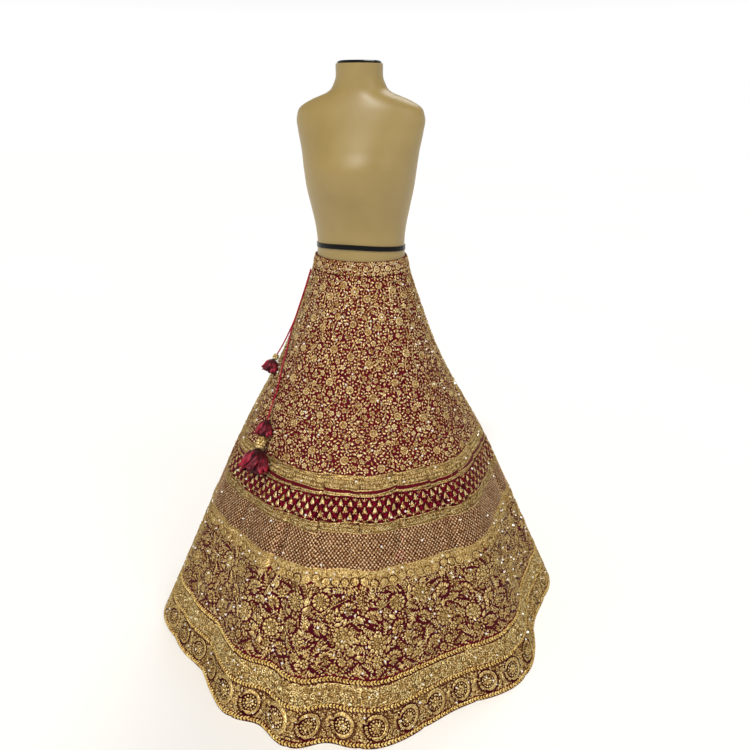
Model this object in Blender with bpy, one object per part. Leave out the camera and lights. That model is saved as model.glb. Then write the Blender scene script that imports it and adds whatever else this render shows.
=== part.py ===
"""A bridal lehenga skirt on a limbless dress form with a pole stand.

Metres, +Z up, front of the form towards -Y, the wearer's left towards +X.
The origin is on the floor, under the pole.  Azimuths are in degrees: 0 is the
front, 90 the wearer's left, 180 the back, -90 the wearer's right.
"""

import math

import bpy
import numpy as np

# ------------------------------------------------------------------ sizes
GAP = 0.0003  # clearance that touching pieces keep

WAIST_TOP = 1.030  # top edge of the waistband
WAISTBAND_HEIGHT = 0.035
PANEL_TOP = WAIST_TOP - WAISTBAND_HEIGHT
CLOTH = 0.002  # embroidered silk over its lining

KALIS = 24  # gores, cut narrow at the waist and wide at the hem
COLUMNS_PER_KALI = 4
PANEL_ROWS = 14
KALI_STEP = 360.0 / KALIS
GORE_BULGE_WAIST, GORE_BULGE_HEM = 0.0008, 0.0045

# Skirt sections without folds, from the waist down to the hem.
SECTION_COLUMNS = ("height", "half_width", "half_depth", "forward")
SECTIONS = (
    (1.030, 0.1212, 0.0965, 0.000),
    (0.995, 0.1290, 0.1030, 0.001),
    (0.900, 0.1610, 0.1390, 0.003),
    (0.772, 0.2110, 0.1910, 0.008),
    (0.515, 0.3480, 0.3350, 0.015),
    (0.257, 0.4630, 0.4680, 0.023),
    (0.000, 0.5710, 0.6050, 0.030),
)

# Folds that open downwards: a ridge has a positive depth, a valley a negative one.
FOLD_COLUMNS = ("azimuth", "half_width", "depth_at_hem", "starts_at_height")
FOLDS = (
    (-55, 9.0, 0.026, 0.80),
    (-31, 8.0, -0.022, 0.62),
    (-16, 5.0, 0.015, 0.50),
    (-8, 4.0, -0.010, 0.66),
    (0, 5.5, 0.028, 0.58),
    (8, 4.0, -0.010, 0.86),
    (17, 7.0, 0.014, 0.74),
    (38, 9.0, -0.026, 0.70),
    (60, 9.0, 0.026, 0.76),
    (80, 8.0, -0.020, 0.60),
    (99, 9.0, 0.024, 0.82),
    (119, 7.5, -0.022, 0.66),
    (137, 8.5, 0.027, 0.72),
    (156, 7.0, -0.018, 0.58),
    (174, 9.0, 0.025, 0.84),
    (-165, 7.0, -0.021, 0.64),
    (-146, 8.0, 0.022, 0.70),
    (-126, 8.0, -0.024, 0.60),
    (-105, 8.5, 0.025, 0.78),
    (-79, 8.0, -0.016, 0.66),
)

# Rings of couched cord that stand out of the embroidery, with the hem's corded edge.
BRAID_COLUMNS = ("name", "height", "tall", "proud")
BRAIDS = (
    ("braid_upper", 0.129, 0.007, 0.0030),
    ("braid_lower", 0.075, 0.006, 0.0026),
    ("hem_cording", 0.006, 0.008, 0.0035),
)

# Dress form sections: a general figure, deeper at the front over the bust.
TORSO_COLUMNS = ("height", "half_width", "front", "back")
TORSO = (
    (0.800, 0.150, 0.098, 0.112),
    (0.860, 0.158, 0.105, 0.118),
    (0.930, 0.1470, 0.1020, 0.1100),
    (0.995, 0.1250, 0.0985, 0.0985),
    (1.030, 0.1172, 0.0925, 0.0925),
    (1.060, 0.1150, 0.0915, 0.0900),
    (1.100, 0.1180, 0.0960, 0.0910),
    (1.150, 0.1270, 0.1090, 0.0960),
    (1.200, 0.1370, 0.1230, 0.1010),
    (1.245, 0.1430, 0.1220, 0.1035),
    (1.290, 0.1490, 0.1040, 0.1020),
    (1.330, 0.1570, 0.0890, 0.0960),
    (1.365, 0.1600, 0.0770, 0.0860),
    (1.388, 0.1480, 0.0690, 0.0760),
    (1.405, 0.1150, 0.0630, 0.0670),
    (1.418, 0.0800, 0.0590, 0.0610),
    (1.440, 0.0610, 0.0550, 0.0560),
    (1.480, 0.0560, 0.0530, 0.0530),
)
TORSO_SIDES = 36

# The glossy cap on the neck: its radius as a share of the neck's, its rounded top, its height.
NECK_CAP_SHARE, NECK_CAP_TOP_SHARE, NECK_CAP_SHOULDER = 0.94, 0.90, 0.6
NECK_CAP_HEIGHT = 0.006

# The glossy band at the form's waist runs a little higher over the front.
BAND_LOW, BAND_FRONT_RISE = 1.045, 0.020
BAND_TALL, BAND_THICK = 0.012, 0.0016
BAND_SIDES = 48

POLE_RADIUS, POLE_SIDES = 0.0125, 16
BASE_RADIUS, BASE_THICK, BASE_SIDES = 0.150, 0.012, 48
STAND_BEVEL = 0.0015

CORD_RADIUS = 0.0020
CORD_STEP = 0.0115
BORE = 0.0026  # the hole that a latkan is threaded by

# Where the cords lie on the skirt, from the waistband's lower edge to the top of their
# latkan, and where the latkan's own straight axis ends.
ROUTE_COLUMNS = ("azimuth", "height", "lift")
LONG_ROUTE = (
    (-73.0, 0.986, 0.0032),
    (-72.5, 0.940, 0.0032),
    (-70.5, 0.880, 0.0032),
    (-66.0, 0.824, 0.0034),
    (-59.0, 0.782, 0.0034),
    (-52.5, 0.742, 0.0036),
    (-47.0, 0.700, 0.0045),
    (-42.5, 0.658, 0.0105),
    (-38.5, 0.631, 0.0195),
)
LONG_END = (-29.5, 0.495, 0.0490)
SHORT_ROUTE = (
    (-79.0, 0.986, 0.0032),
    (-78.5, 0.940, 0.0032),
    (-77.0, 0.890, 0.0034),
    (-74.0, 0.840, 0.0040),
    (-70.0, 0.788, 0.0085),
    (-66.5, 0.758, 0.0158),
)
SHORT_END = (-58.0, 0.690, 0.0290)

# Latkans: gathered cloth flowers and beads threaded on the cords, top to bottom.
LATKAN_COLUMNS = ("name", "length", "radius", "lobes", "outline")
LONG_LATKAN = (
    ("latkan_upper_flower", 0.044, 0.0190, 6, "flower"),
    ("latkan_beads", 0.034, 0.0140, 8, "beads"),
    ("latkan_lower_flower", 0.062, 0.0330, 7, "flower"),
)
SHORT_LATKAN = (
    ("latkan_short_beads", 0.016, 0.0100, 8, "beads"),
    ("latkan_short_flower", 0.038, 0.0195, 6, "flower"),
)
# Outlines down a latkan: share of its length, share of its radius.
OUTLINES = {
    "flower": ((0, 0.22), (0.10, 0.34), (0.32, 0.66), (0.62, 0.94), (0.86, 1), (1, 0.82), (0.92, 0.36)),
    "beads": ((0.00, 0.45), (0.25, 0.88), (0.50, 1.00), (0.75, 0.88), (1.00, 0.45)),
}
LOBE_DEPTH = {"flower": 0.18, "beads": 0.10}
SIDES_PER_LOBE = 3
THREADED_SHARE = 0.4  # how far down its last flower a cord runs


# ------------------------------------------------------------ small helpers
def clear_scene():
    for old in list(bpy.data.objects):
        bpy.data.objects.remove(old, do_unlink=True)


def linear(hex_colour):
    """sRGB hex to the linear values that Blender's sockets take."""
    channels = [int(hex_colour[i : i + 2], 16) / 255 for i in (1, 3, 5)]
    return [c / 12.92 if c <= 0.04045 else ((c + 0.055) / 1.055) ** 2.4 for c in channels]


def material(name, hex_colour, roughness, metallic=0.0):
    made = bpy.data.materials.new(name)
    made.use_nodes = True
    shader = made.node_tree.nodes["Principled BSDF"]
    shader.inputs["Base Color"].default_value = (*linear(hex_colour), 1)
    shader.inputs["Roughness"].default_value = roughness
    shader.inputs["Metallic"].default_value = metallic
    return made


def add_object(name, points, faces, finish):
    """A mesh object at the origin from points and faces, shaded smooth on its round sides."""
    mesh = bpy.data.meshes.new(name)
    mesh.from_pydata([tuple(p) for p in points], [], faces)
    mesh.materials.append(finish)
    mesh.shade_smooth()
    mesh.set_sharp_from_angle(angle=math.radians(40))
    placed = bpy.data.objects.new(name, mesh)
    bpy.context.scene.collection.objects.link(placed)
    return placed


def place(azimuth, radius, height):
    """Points from azimuths in degrees, distances from the pole's axis and heights."""
    turn = np.radians(azimuth)
    return np.stack(np.broadcast_arrays(radius * np.sin(turn), -radius * np.cos(turn), height), axis=-1)


def column(table, names, name):
    return np.array([row[names.index(name)] for row in table], float)


def smooth_column(height, table, names, name):
    """A cubic through one column of a table, with each point's slope taken from its neighbours."""
    heights = column(table, names, "height")[::-1]
    values = column(table, names, name)[::-1]
    slopes = np.gradient(values, heights)
    height = np.clip(height, heights[0], heights[-1])
    i = np.clip(np.searchsorted(heights, height) - 1, 0, len(heights) - 2)
    span = heights[i + 1] - heights[i]
    t = (height - heights[i]) / span
    start, end = values[i], values[i + 1]
    return (
        (2 * t**3 - 3 * t**2 + 1) * start
        + (t**3 - 2 * t**2 + t) * span * slopes[i]
        + (3 * t**2 - 2 * t**3) * end
        + (t**3 - t**2) * span * slopes[i + 1]
    )


# ------------------------------------------------------------ the skirt's surface
def bell_radius(azimuth, height):
    """Distance from the pole's axis to an ellipse whose middle lies a little forward of it."""
    turn = np.radians(azimuth)
    wide, deep, forward = (smooth_column(height, SECTIONS, SECTION_COLUMNS, n) for n in SECTION_COLUMNS[1:])
    a = (np.sin(turn) / wide) ** 2 + (np.cos(turn) / deep) ** 2
    b = -2 * forward * np.cos(turn) / deep**2
    c = (forward / deep) ** 2 - 1
    return (-b + np.sqrt(b * b - 4 * a * c)) / (2 * a)


def fold_depth(azimuth, height):
    """The sum of bell-shaped ridges and valleys, each growing from nothing at its start to the hem."""
    total = np.zeros(np.broadcast_shapes(np.shape(azimuth), np.shape(height)))
    for middle, half_width, depth, start in FOLDS:
        off = (np.asarray(azimuth) - middle + 180) % 360 - 180
        grown = np.clip((start - height) / start, 0, 1) ** 1.3
        total = total + depth * np.exp(-((off / half_width) ** 2)) * grown
    return total


def gore_bulge(azimuth, height):
    """Each gore swells a little between its two seams."""
    across = (np.asarray(azimuth) / KALI_STEP) % 1.0
    down = 1 - np.asarray(height) / WAIST_TOP
    return 4 * across * (1 - across) * (GORE_BULGE_WAIST + (GORE_BULGE_HEM - GORE_BULGE_WAIST) * down)


def cloth_radius(azimuth, height):
    return bell_radius(azimuth, height) + fold_depth(azimuth, height) + gore_bulge(azimuth, height)


ROW_HEIGHTS = np.linspace(PANEL_TOP - GAP, 0.0, PANEL_ROWS)
COLUMN_STEP = KALI_STEP / COLUMNS_PER_KALI


def wall_at_column(azimuth, height):
    """Radius of the faceted wall at a column of its points, straight between two rows."""
    i = np.clip(np.searchsorted(-ROW_HEIGHTS, -np.asarray(height)) - 1, 0, PANEL_ROWS - 2)
    high, low = ROW_HEIGHTS[i], ROW_HEIGHTS[i + 1]
    t = (high - height) / (high - low)
    return cloth_radius(azimuth, high) * (1 - t) + cloth_radius(azimuth, low) * t


def wall_radius(azimuth, height):
    """Radius of the faceted wall anywhere: the chord between the two nearest columns."""
    left = math.floor(azimuth / COLUMN_STEP) * COLUMN_STEP
    right = left + COLUMN_STEP
    r0, r1 = float(wall_at_column(left, height)), float(wall_at_column(right, height))
    a0, a1, whole = (math.radians(v) for v in (azimuth - left, right - azimuth, COLUMN_STEP))
    return r0 * r1 * math.sin(whole) / (r0 * math.sin(a0) + r1 * math.sin(a1))


# ------------------------------------------------------------ closed solids from grids
def grid_faces(rows, columns, start=0, wraps=False):
    """Quads over a grid of points that is stored row by row."""
    faces = []
    for r in range(rows - 1):
        above, below = start + r * columns, start + (r + 1) * columns
        for c in range(columns if wraps else columns - 1):
            d = (c + 1) % columns
            faces.append((above + c, below + c, below + d, above + d))
    return faces


def walled(name, outer, inner, finish):
    """A wall between two equal grids of points, closed round its four edges."""
    rows, columns = outer.shape[:2]
    count = rows * columns
    faces = grid_faces(rows, columns)
    faces += [tuple(reversed(f)) for f in grid_faces(rows, columns, count)]
    top = [(0, c) for c in range(columns)]
    right = [(r, columns - 1) for r in range(1, rows)]
    bottom = [(rows - 1, c) for c in range(columns - 2, -1, -1)]
    left = [(r, 0) for r in range(rows - 2, 0, -1)]
    edge = [r * columns + c for r, c in top + right + bottom + left]
    for i, here in enumerate(edge):
        there = edge[(i + 1) % len(edge)]
        faces.append((here, there, there + count, here + count))
    return add_object(name, np.concatenate([outer.reshape(-1, 3), inner.reshape(-1, 3)]), faces, finish)


def hooped(name, profile, finish):
    """A ring: profile is (corners, columns, 3), a closed outline carried right round."""
    corners, columns = profile.shape[:2]
    faces = []
    for k in range(corners):
        n = (k + 1) % corners
        for c in range(columns):
            d = (c + 1) % columns
            faces.append((k * columns + c, n * columns + c, n * columns + d, k * columns + d))
    return add_object(name, profile.reshape(-1, 3), faces, finish)


def stacked(name, rings, finish):
    """A solid through rings of points, top ring first, closed by a flat face at each end."""
    rows, columns = rings.shape[:2]
    faces = grid_faces(rows, columns, wraps=True)
    faces.append(tuple(range(columns)))
    faces.append(tuple(reversed(range((rows - 1) * columns, rows * columns))))
    return add_object(name, rings.reshape(-1, 3), faces, finish)


# ------------------------------------------------------------ the dress form
def torso_radius(azimuth, height):
    """Two half ellipses that meet at the sides, straight between the table's heights."""
    turn = np.radians(azimuth)
    heights = column(TORSO, TORSO_COLUMNS, "height")
    wide, front, back = (np.interp(height, heights, column(TORSO, TORSO_COLUMNS, n)) for n in TORSO_COLUMNS[1:])
    deep = np.where(np.cos(turn) > 0, front, back)
    return 1 / np.sqrt((np.sin(turn) / wide) ** 2 + (np.cos(turn) / deep) ** 2)


def build_form(skin, gloss, steel):
    around = np.arange(TORSO_SIDES) * 360 / TORSO_SIDES
    heights = column(TORSO, TORSO_COLUMNS, "height")[::-1]
    rings = np.array([place(around, torso_radius(around, h), h) for h in heights])
    stacked("form_torso", rings, skin)

    top = heights[0] + GAP
    cap_radius = torso_radius(around, heights[0]) * NECK_CAP_SHARE
    levels = ((NECK_CAP_TOP_SHARE, 1), (1, NECK_CAP_SHOULDER), (1, 0))
    cap = [place(around, cap_radius * share, top + NECK_CAP_HEIGHT * up) for share, up in levels]
    stacked("form_neck_cap", np.array(cap), gloss)

    around = np.arange(BAND_SIDES) * 360 / BAND_SIDES
    middle = BAND_LOW + BAND_FRONT_RISE * ((1 + np.cos(np.radians(around))) / 2) ** 1.5
    corners = []
    for out, up in ((0, -0.5), (1, -0.5), (1, 0.5), (0, 0.5)):
        height = middle + up * BAND_TALL
        # The wider of the torso's sections at the band's two edges keeps it clear of the form.
        below, above = (torso_radius(around, middle + side * BAND_TALL / 2) for side in (-1, 1))
        inside = np.maximum(below, above)
        corners.append(place(around, inside + GAP + out * BAND_THICK, height))
    hooped("form_waist_band", np.array(corners), gloss)

    torso_bottom = heights[-1]
    for name, radius, low, high, sides in (
        ("stand_base", BASE_RADIUS, 0.0, BASE_THICK, BASE_SIDES),
        ("stand_pole", POLE_RADIUS, BASE_THICK + GAP, torso_bottom - GAP, POLE_SIDES),
    ):
        turn = np.arange(sides) * 360 / sides
        narrow = radius - STAND_BEVEL
        levels = ((narrow, high), (radius, high - STAND_BEVEL), (radius, low + STAND_BEVEL), (narrow, low))
        stacked(name, np.array([place(turn, r, h) for r, h in levels]), steel)


# ------------------------------------------------------------ the skirt's pieces
def build_waistband(finish):
    around = np.arange(KALIS * COLUMNS_PER_KALI) * COLUMN_STEP
    corners = [
        place(around, torso_radius(around, PANEL_TOP) + GAP, PANEL_TOP),
        place(around, cloth_radius(around, PANEL_TOP), PANEL_TOP),
        place(around, cloth_radius(around, WAIST_TOP), WAIST_TOP),
        place(around, torso_radius(around, WAIST_TOP) + GAP, WAIST_TOP),
    ]
    hooped("waistband", np.array(corners), finish)


def build_kali(number, finish):
    """One gore: a wall whose rows run round and whose columns run from the waist to the hem."""
    left = (number - 1) * KALI_STEP
    columns = left + np.arange(COLUMNS_PER_KALI + 1) * COLUMN_STEP
    azimuth = np.tile(columns, (PANEL_ROWS, 1))
    height = np.repeat(ROW_HEIGHTS[:, None], COLUMNS_PER_KALI + 1, axis=1)
    radius = cloth_radius(azimuth, height)
    half_seam = np.degrees(GAP / 2 / radius)
    azimuth = azimuth + half_seam * np.array([1] + [0] * (COLUMNS_PER_KALI - 1) + [-1])
    walled(f"kali_{number:02d}", place(azimuth, radius, height), place(azimuth, radius - CLOTH, height), finish)


def build_braid(name, height, tall, proud, finish):
    """A raised ring made from the gores' own points, moved out by the seam gap."""
    around = np.arange(KALIS * COLUMNS_PER_KALI) * COLUMN_STEP
    low, high = height - tall / 2, height + tall / 2
    corners = [
        place(around, wall_at_column(around, low) + 2 * GAP, low),
        place(around, wall_at_column(around, height) + 2 * GAP + proud, height),
        place(around, wall_at_column(around, high) + 2 * GAP, high),
    ]
    hooped(name, np.array(corners), finish)


def through(points, step):
    """Evenly spaced points on a smooth curve (Catmull-Rom) through a route's own points."""
    points = np.asarray(points, float)
    ends = np.concatenate([[2 * points[0] - points[1]], points, [2 * points[-1] - points[-2]]])
    t = np.linspace(0, 1, 24, endpoint=False)[:, None]
    runs = []
    for p, q, r, s in zip(ends, ends[1:], ends[2:], ends[3:]):
        square, cube = 2 * p - 5 * q + 4 * r - s, 3 * q - p - 3 * r + s
        runs.append(0.5 * (2 * q + (r - p) * t + square * t**2 + cube * t**3))
    fine = np.concatenate(runs + [points[-1:]])
    along = np.concatenate([[0], np.cumsum(np.linalg.norm(np.diff(fine, axis=0), axis=1))])
    even = np.linspace(0, along[-1], max(2, round(along[-1] / step) + 1))
    return np.stack([np.interp(even, along, fine[:, k]) for k in range(3)], axis=1)


def on_skirt(azimuth, height, lift):
    return place(azimuth, wall_radius(azimuth, height) + lift, height)


def latkan_pieces(latkan):
    """Each piece's name, where it starts along the axis, and the rest of its row."""
    start = GAP
    for name, length, radius, lobes, outline in latkan:
        yield name, start, length, radius, lobes, outline
        start += length + GAP


def cord_line(route, end, latkan):
    """The cord's middle: down the skirt on a smooth curve, then straight on through its latkan."""
    free = through([on_skirt(*row) for row in route], CORD_STEP)
    top, way = latkan_axis(route, end)
    _, start, length, *_ = list(latkan_pieces(latkan))[-1]
    inside = start + THREADED_SHARE * length
    threaded = [top + way * d for d in np.linspace(0, inside, math.ceil(inside / CORD_STEP) + 1)[1:]]
    return np.concatenate([free, threaded])


def latkan_axis(route, end):
    """Where a latkan starts, and the way that it hangs."""
    top = on_skirt(*route[-1])
    way = on_skirt(*end) - top
    return top, way / np.linalg.norm(way)


def build_cord(name, line, finish):
    path = bpy.data.curves.new(name, "CURVE")
    path.dimensions = "3D"
    path.bevel_depth = CORD_RADIUS
    path.bevel_resolution = 2
    path.use_fill_caps = True
    spline = path.splines.new("POLY")
    spline.points.add(len(line) - 1)
    spline.points.foreach_set("co", np.column_stack([line, np.ones(len(line))]).ravel())
    path.materials.append(finish)
    placed = bpy.data.objects.new(name, path)
    bpy.context.scene.collection.objects.link(placed)


def build_latkan(piece, top, way, is_last, finish):
    """A lobed outline turned about the cord, with a hole for it that ends inside the last piece."""
    name, start, length, radius, lobes, outline = piece
    side = np.cross(way, (0, 0, 1))
    side /= np.linalg.norm(side)
    front = np.cross(side, way)
    sides = lobes * SIDES_PER_LOBE
    turn = np.arange(sides) * 2 * math.pi / sides
    around = side * np.cos(turn)[:, None] + front * np.sin(turn)[:, None]

    def hoop(along, reach, lobed=0.0):
        reach = reach * (1 - LOBE_DEPTH[outline] * lobed * (0.5 - 0.5 * np.cos(lobes * turn)))
        return top + way * (start + along * length) + around * reach[:, None]

    outside = [hoop(along, max(size * radius, 1.5 * BORE), along) for along, size in OUTLINES[outline]]
    if not is_last:
        return hooped(name, np.array(outside + [hoop(1.0, BORE), hoop(0.0, BORE)]), finish)
    floor = THREADED_SHARE + 2 * GAP / length
    return stacked(name, np.array([hoop(floor, BORE), hoop(0.0, BORE)] + outside), finish)


# ------------------------------------------------------------ build
def face_outwards():
    """Turns every mesh's faces outwards."""
    for placed in bpy.context.scene.collection.objects:
        if placed.type != "MESH":
            continue
        mesh = placed.data
        points = np.array([v.co for v in mesh.vertices])
        mesh.calc_loop_triangles()
        corners = points[np.array([t.vertices[:] for t in mesh.loop_triangles])]
        if np.linalg.det(corners).sum() < 0:
            mesh.flip_normals()


def build():
    clear_scene()
    silk = material("embroidered_silk", "#8a4a36", 0.62)
    zari = material("gold_zari", "#c09a50", 0.42, 0.6)
    crimson = material("crimson_cord", "#8e1a34", 0.55)
    skin = material("beige_form", "#bda56d", 0.45)
    gloss = material("gloss_black", "#0b0c0c", 0.15)
    steel = material("stand_steel", "#9a9c9e", 0.30, 1.0)

    build_form(skin, gloss, steel)
    build_waistband(silk)
    for number in range(1, KALIS + 1):
        build_kali(number, silk)
    for row in BRAIDS:
        build_braid(*row, zari)
    for cord_name, route, end, latkan in (
        ("drawstring_long", LONG_ROUTE, LONG_END, LONG_LATKAN),
        ("drawstring_short", SHORT_ROUTE, SHORT_END, SHORT_LATKAN),
    ):
        build_cord(cord_name, cord_line(route, end, latkan), crimson)
        pieces = list(latkan_pieces(latkan))
        for piece in pieces:
            is_last = piece is pieces[-1]
            finish = zari if piece[-1] == "beads" else crimson
            build_latkan(piece, *latkan_axis(route, end), is_last, finish)
    face_outwards()


build()
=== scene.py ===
# %% [markdown]
# # A bridal lehenga skirt on a dress form
# A lehenga is a long flared skirt. This one is cut from 24 narrow gores (kalis), covered in gold
# thread work (zari), and shown on a limbless dress form.

# %% Load the solid model
import math

import bpy
import numpy as np
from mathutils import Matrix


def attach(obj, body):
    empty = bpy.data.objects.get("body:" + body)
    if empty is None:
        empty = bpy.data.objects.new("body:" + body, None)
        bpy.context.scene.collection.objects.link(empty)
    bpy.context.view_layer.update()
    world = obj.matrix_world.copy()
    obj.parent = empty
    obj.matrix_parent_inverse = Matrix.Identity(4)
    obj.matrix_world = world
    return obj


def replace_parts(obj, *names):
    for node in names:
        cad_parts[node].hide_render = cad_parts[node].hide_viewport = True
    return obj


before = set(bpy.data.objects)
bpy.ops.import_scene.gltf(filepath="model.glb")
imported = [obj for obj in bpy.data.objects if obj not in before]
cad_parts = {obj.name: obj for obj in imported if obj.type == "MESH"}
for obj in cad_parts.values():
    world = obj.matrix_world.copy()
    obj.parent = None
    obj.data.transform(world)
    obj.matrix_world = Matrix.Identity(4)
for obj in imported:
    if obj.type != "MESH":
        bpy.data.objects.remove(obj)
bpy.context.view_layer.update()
print("loaded", len(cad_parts), "solids")

# %% [markdown]
# ## Camera
# A camera looks along its own -Z. It stands a little to the wearer's left, at the height of the
# form's neck, tipped down so that the skirt's rings show as curves. The lens is a 31 mm one on a
# 36 mm sensor, which is a wide room view.

# %% Camera
CAMERA_TURN, CAMERA_FROM_AXIS, CAMERA_HEIGHT = 16.27, 1.6694, 1.410  # degrees, metres, metres
CAMERA_FACES, CAMERA_DIPS = 15.0, 23.62  # degrees
LENS, SENSOR = 30.62, 36  # mm

camera = bpy.data.objects.new("camera", bpy.data.cameras.new("camera"))
camera.data.lens = LENS
camera.data.sensor_width = SENSOR
turn = math.radians(CAMERA_TURN)
camera.location = (CAMERA_FROM_AXIS * math.sin(turn), -CAMERA_FROM_AXIS * math.cos(turn), CAMERA_HEIGHT)
camera.rotation_euler = (math.radians(90 - CAMERA_DIPS), 0, math.radians(CAMERA_FACES))
bpy.context.scene.collection.objects.link(camera)
bpy.context.scene.camera = camera
print("camera at", [round(v, 3) for v in camera.location])

# %% [markdown]
# ## Helpers for materials
# A designer picks colours as sRGB hex, but shader sockets take linear light, so one function turns
# one into the other. A second adds any node, sets its settings, and fills or links its sockets. A
# third starts a finish, and a fourth varies its colour and gloss by one pattern, because no real
# surface has one flat colour.

# %% Colours and nodes
VALUE, FROM_LOW, FROM_HIGH, TO_LOW, TO_HIGH = range(5)  # the sockets of a Map Range node
SHARE, FIRST, SECOND, BLENDED = 0, 6, 7, 2  # the sockets of a Mix node for colours, the last one its output


def linear(hex_colour):
    """sRGB hex to linear: each channel is divided by 12.92 in the dark, else follows the 2.4 power."""
    channels = [int(hex_colour[i : i + 2], 16) / 255 for i in (1, 3, 5)]
    return (*[c / 12.92 if c <= 0.04045 else ((c + 0.055) / 1.055) ** 2.4 for c in channels], 1)


def add_node(tree, kind, inputs=None, **settings):
    """Adds one shader node. Each input, by name or number, is given a value or another node's output."""
    node = tree.nodes.new("ShaderNode" + kind)
    for name, value in settings.items():
        setattr(node, name, value)
    for key, value in (inputs or {}).items():
        if isinstance(value, bpy.types.NodeSocket):
            tree.links.new(value, node.inputs[key])
        else:
            node.inputs[key].default_value = value
    return node


def start_finish(name, **sockets):
    """A new material, with its Principled shader's constant sockets set by name."""
    made = bpy.data.materials.new(name)
    made.use_nodes = True
    shader = made.node_tree.nodes["Principled BSDF"]
    for socket, value in sockets.items():
        shader.inputs[socket.replace("_", " ")].default_value = value
    return made, made.node_tree, shader


def vary(tree, shader, share, dark, light, gloss=()):
    """Blends the colour, and with gloss the roughness too, from one value to another by a pattern's share."""
    ends = {SHARE: share, FIRST: linear(dark), SECOND: linear(light)}
    colour = add_node(tree, "Mix", ends, data_type="RGBA")
    tree.links.new(colour.outputs[BLENDED], shader.inputs["Base Color"])
    if gloss:
        rough = add_node(tree, "MapRange", {VALUE: share, TO_LOW: gloss[0], TO_HIGH: gloss[1]})
        tree.links.new(rough.outputs[0], shader.inputs["Roughness"])


# %% [markdown]
# ## Thread finishes
# Zari is a silk or cotton core wrapped in a flat gilt wire. It reads as a soft metal: pale gold
# where it catches the light, brown where the wraps turn away; that brown is painted shade, laid
# into the colour in the grooves between the thread's ridges. Each motif carries a number of its
# own, "tone", so that no two stitches have quite the same gold, and its flat map is in metres, so
# that the stitches can run across each leaf at a real spacing. Threads are 0.3 mm thick, too fine
# to show, so their ridges are drawn 1.2 mm apart, and those of the close fillings 2 mm.

# %% Finishes: thread
WAVE_PITCH = 0.31416  # a wave texture's scale is this over the pitch in metres
MOTTLE, TONE_SHARE = 330, 0.13  # spots 3 mm apart; how far a tone of 0 or 1 moves the colour
RAMP = (0.30, 0.45, 0.64)  # where dark, middle and light stand
THREAD, FILLING = (0.0012, 0.0003), (0.0020, 0.0004)  # metres: the ridges' pitch and their relief
SEQUIN, SILK_THREAD = (0.0012, 0.0001), (0.0012, 0.0002)


def thread_finish(name, dark, middle, light, metallic, roughness, ridges=THREAD):
    """Thread: colour by a fine mottle and the motif's own tone, with painted shade between its ridges."""
    pitch, relief = ridges
    made, tree, shader = start_finish(name, Metallic=metallic, Roughness=roughness, Specular_IOR_Level=0.15)
    shader.inputs["Specular Tint"].default_value = linear(middle)
    tone = add_node(tree, "Attribute", attribute_name="tone")
    place = add_node(tree, "TexCoord")
    mottle = add_node(tree, "TexNoise", {"Vector": place.outputs["Object"], "Scale": MOTTLE, "Detail": 1})
    settings = {"Vector": place.outputs["UV"], "Scale": WAVE_PITCH / pitch, "Distortion": 1.2, "Detail": 1}
    waves = add_node(tree, "TexWave", settings, bands_direction="Y")
    own = add_node(tree, "MapRange", {VALUE: tone.outputs["Fac"], TO_LOW: -TONE_SHARE, TO_HIGH: TONE_SHARE})
    blend = add_node(tree, "Math", {0: own.outputs[0], 1: mottle.outputs[0]}, operation="ADD")
    ramp = add_node(tree, "ValToRGB", {0: blend.outputs[0]})
    stops = ramp.color_ramp.elements
    stops[0].position, stops[0].color = RAMP[0], linear(dark)
    stops[1].position, stops[1].color = RAMP[2], linear(light)
    stops.new(RAMP[1]).color = linear(middle)
    ridge = {VALUE: waves.outputs["Fac"], FROM_LOW: 0.0, FROM_HIGH: 0.35, TO_LOW: 0.45, TO_HIGH: 1.0}
    share = add_node(tree, "MapRange", ridge).outputs[0]
    # Painted shade: between the thread's ridges the colour blends towards the dark stop.
    painted_groove_shade = {SHARE: share, FIRST: linear(dark), SECOND: ramp.outputs[0]}
    colour = add_node(tree, "Mix", painted_groove_shade, data_type="RGBA")
    tree.links.new(colour.outputs[BLENDED], shader.inputs["Base Color"])
    bump = add_node(tree, "Bump", {"Height": waves.outputs["Fac"], "Strength": 0.6, "Distance": relief})
    tree.links.new(bump.outputs[0], shader.inputs["Normal"])
    return made


zari_gold = thread_finish("gilt_zari_thread", "#5c3c1c", "#bf9850", "#fdeeb4", 0.75, 0.36)
# A darker copy of the gilt thread for the ribbed band and the lower bands: painted shade for their lesser
# light.
zari_shaded_copy = thread_finish("gilt_zari_painted_shade_copy", "#54381c", "#b38e4e", "#f0da9c", 0.70, 0.40)
rose_zari = thread_finish("rose_gilt_thread", "#84583a", "#cfa578", "#f6dcb0", 0.70, 0.38)
rope_gold = thread_finish("couched_gold_rope", "#7e5a28", "#d4ac58", "#fce8a0", 0.60, 0.34)
# Pale, nearly white sequin gilt: partly their own gilt, partly a painted glint.
sequin_painted_glint = thread_finish("pale_gilt_sequins_painted_glint", "#c8a468", "#f2dcaa", "#fff8e0", 0.60, 0.25, SEQUIN)
bright_ground = thread_finish("bright_zari_filling", "#402614", "#94713c", "#ccb072", 0.45, 0.45, FILLING)
# The next three fillings are dark as painted shade, between packed stitches and under raised motifs.
zari_shade_filling = thread_finish("close_zari_filling_painted_shade", "#2c170e", "#664a2a", "#a08654", 0.35, 0.50, FILLING)
brown_shade_filling = thread_finish("brown_gilt_filling_painted_shade", "#1e080a", "#452018", "#7e5834", 0.30, 0.55, FILLING)
maroon_painted_shade = thread_finish("maroon_silk_painted_shade", "#160306", "#36070f", "#520d1a", 0.0, 0.75, FILLING)
crimson_thread = thread_finish("crimson_silk_couching", "#3a0610", "#660c1c", "#7e162a", 0, 0.60, SILK_THREAD)
crimson_cord = thread_finish("crimson_silk_cord", "#5a0818", "#981830", "#bc344a", 0, 0.50, SILK_THREAD)
print("thread finishes made")
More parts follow.
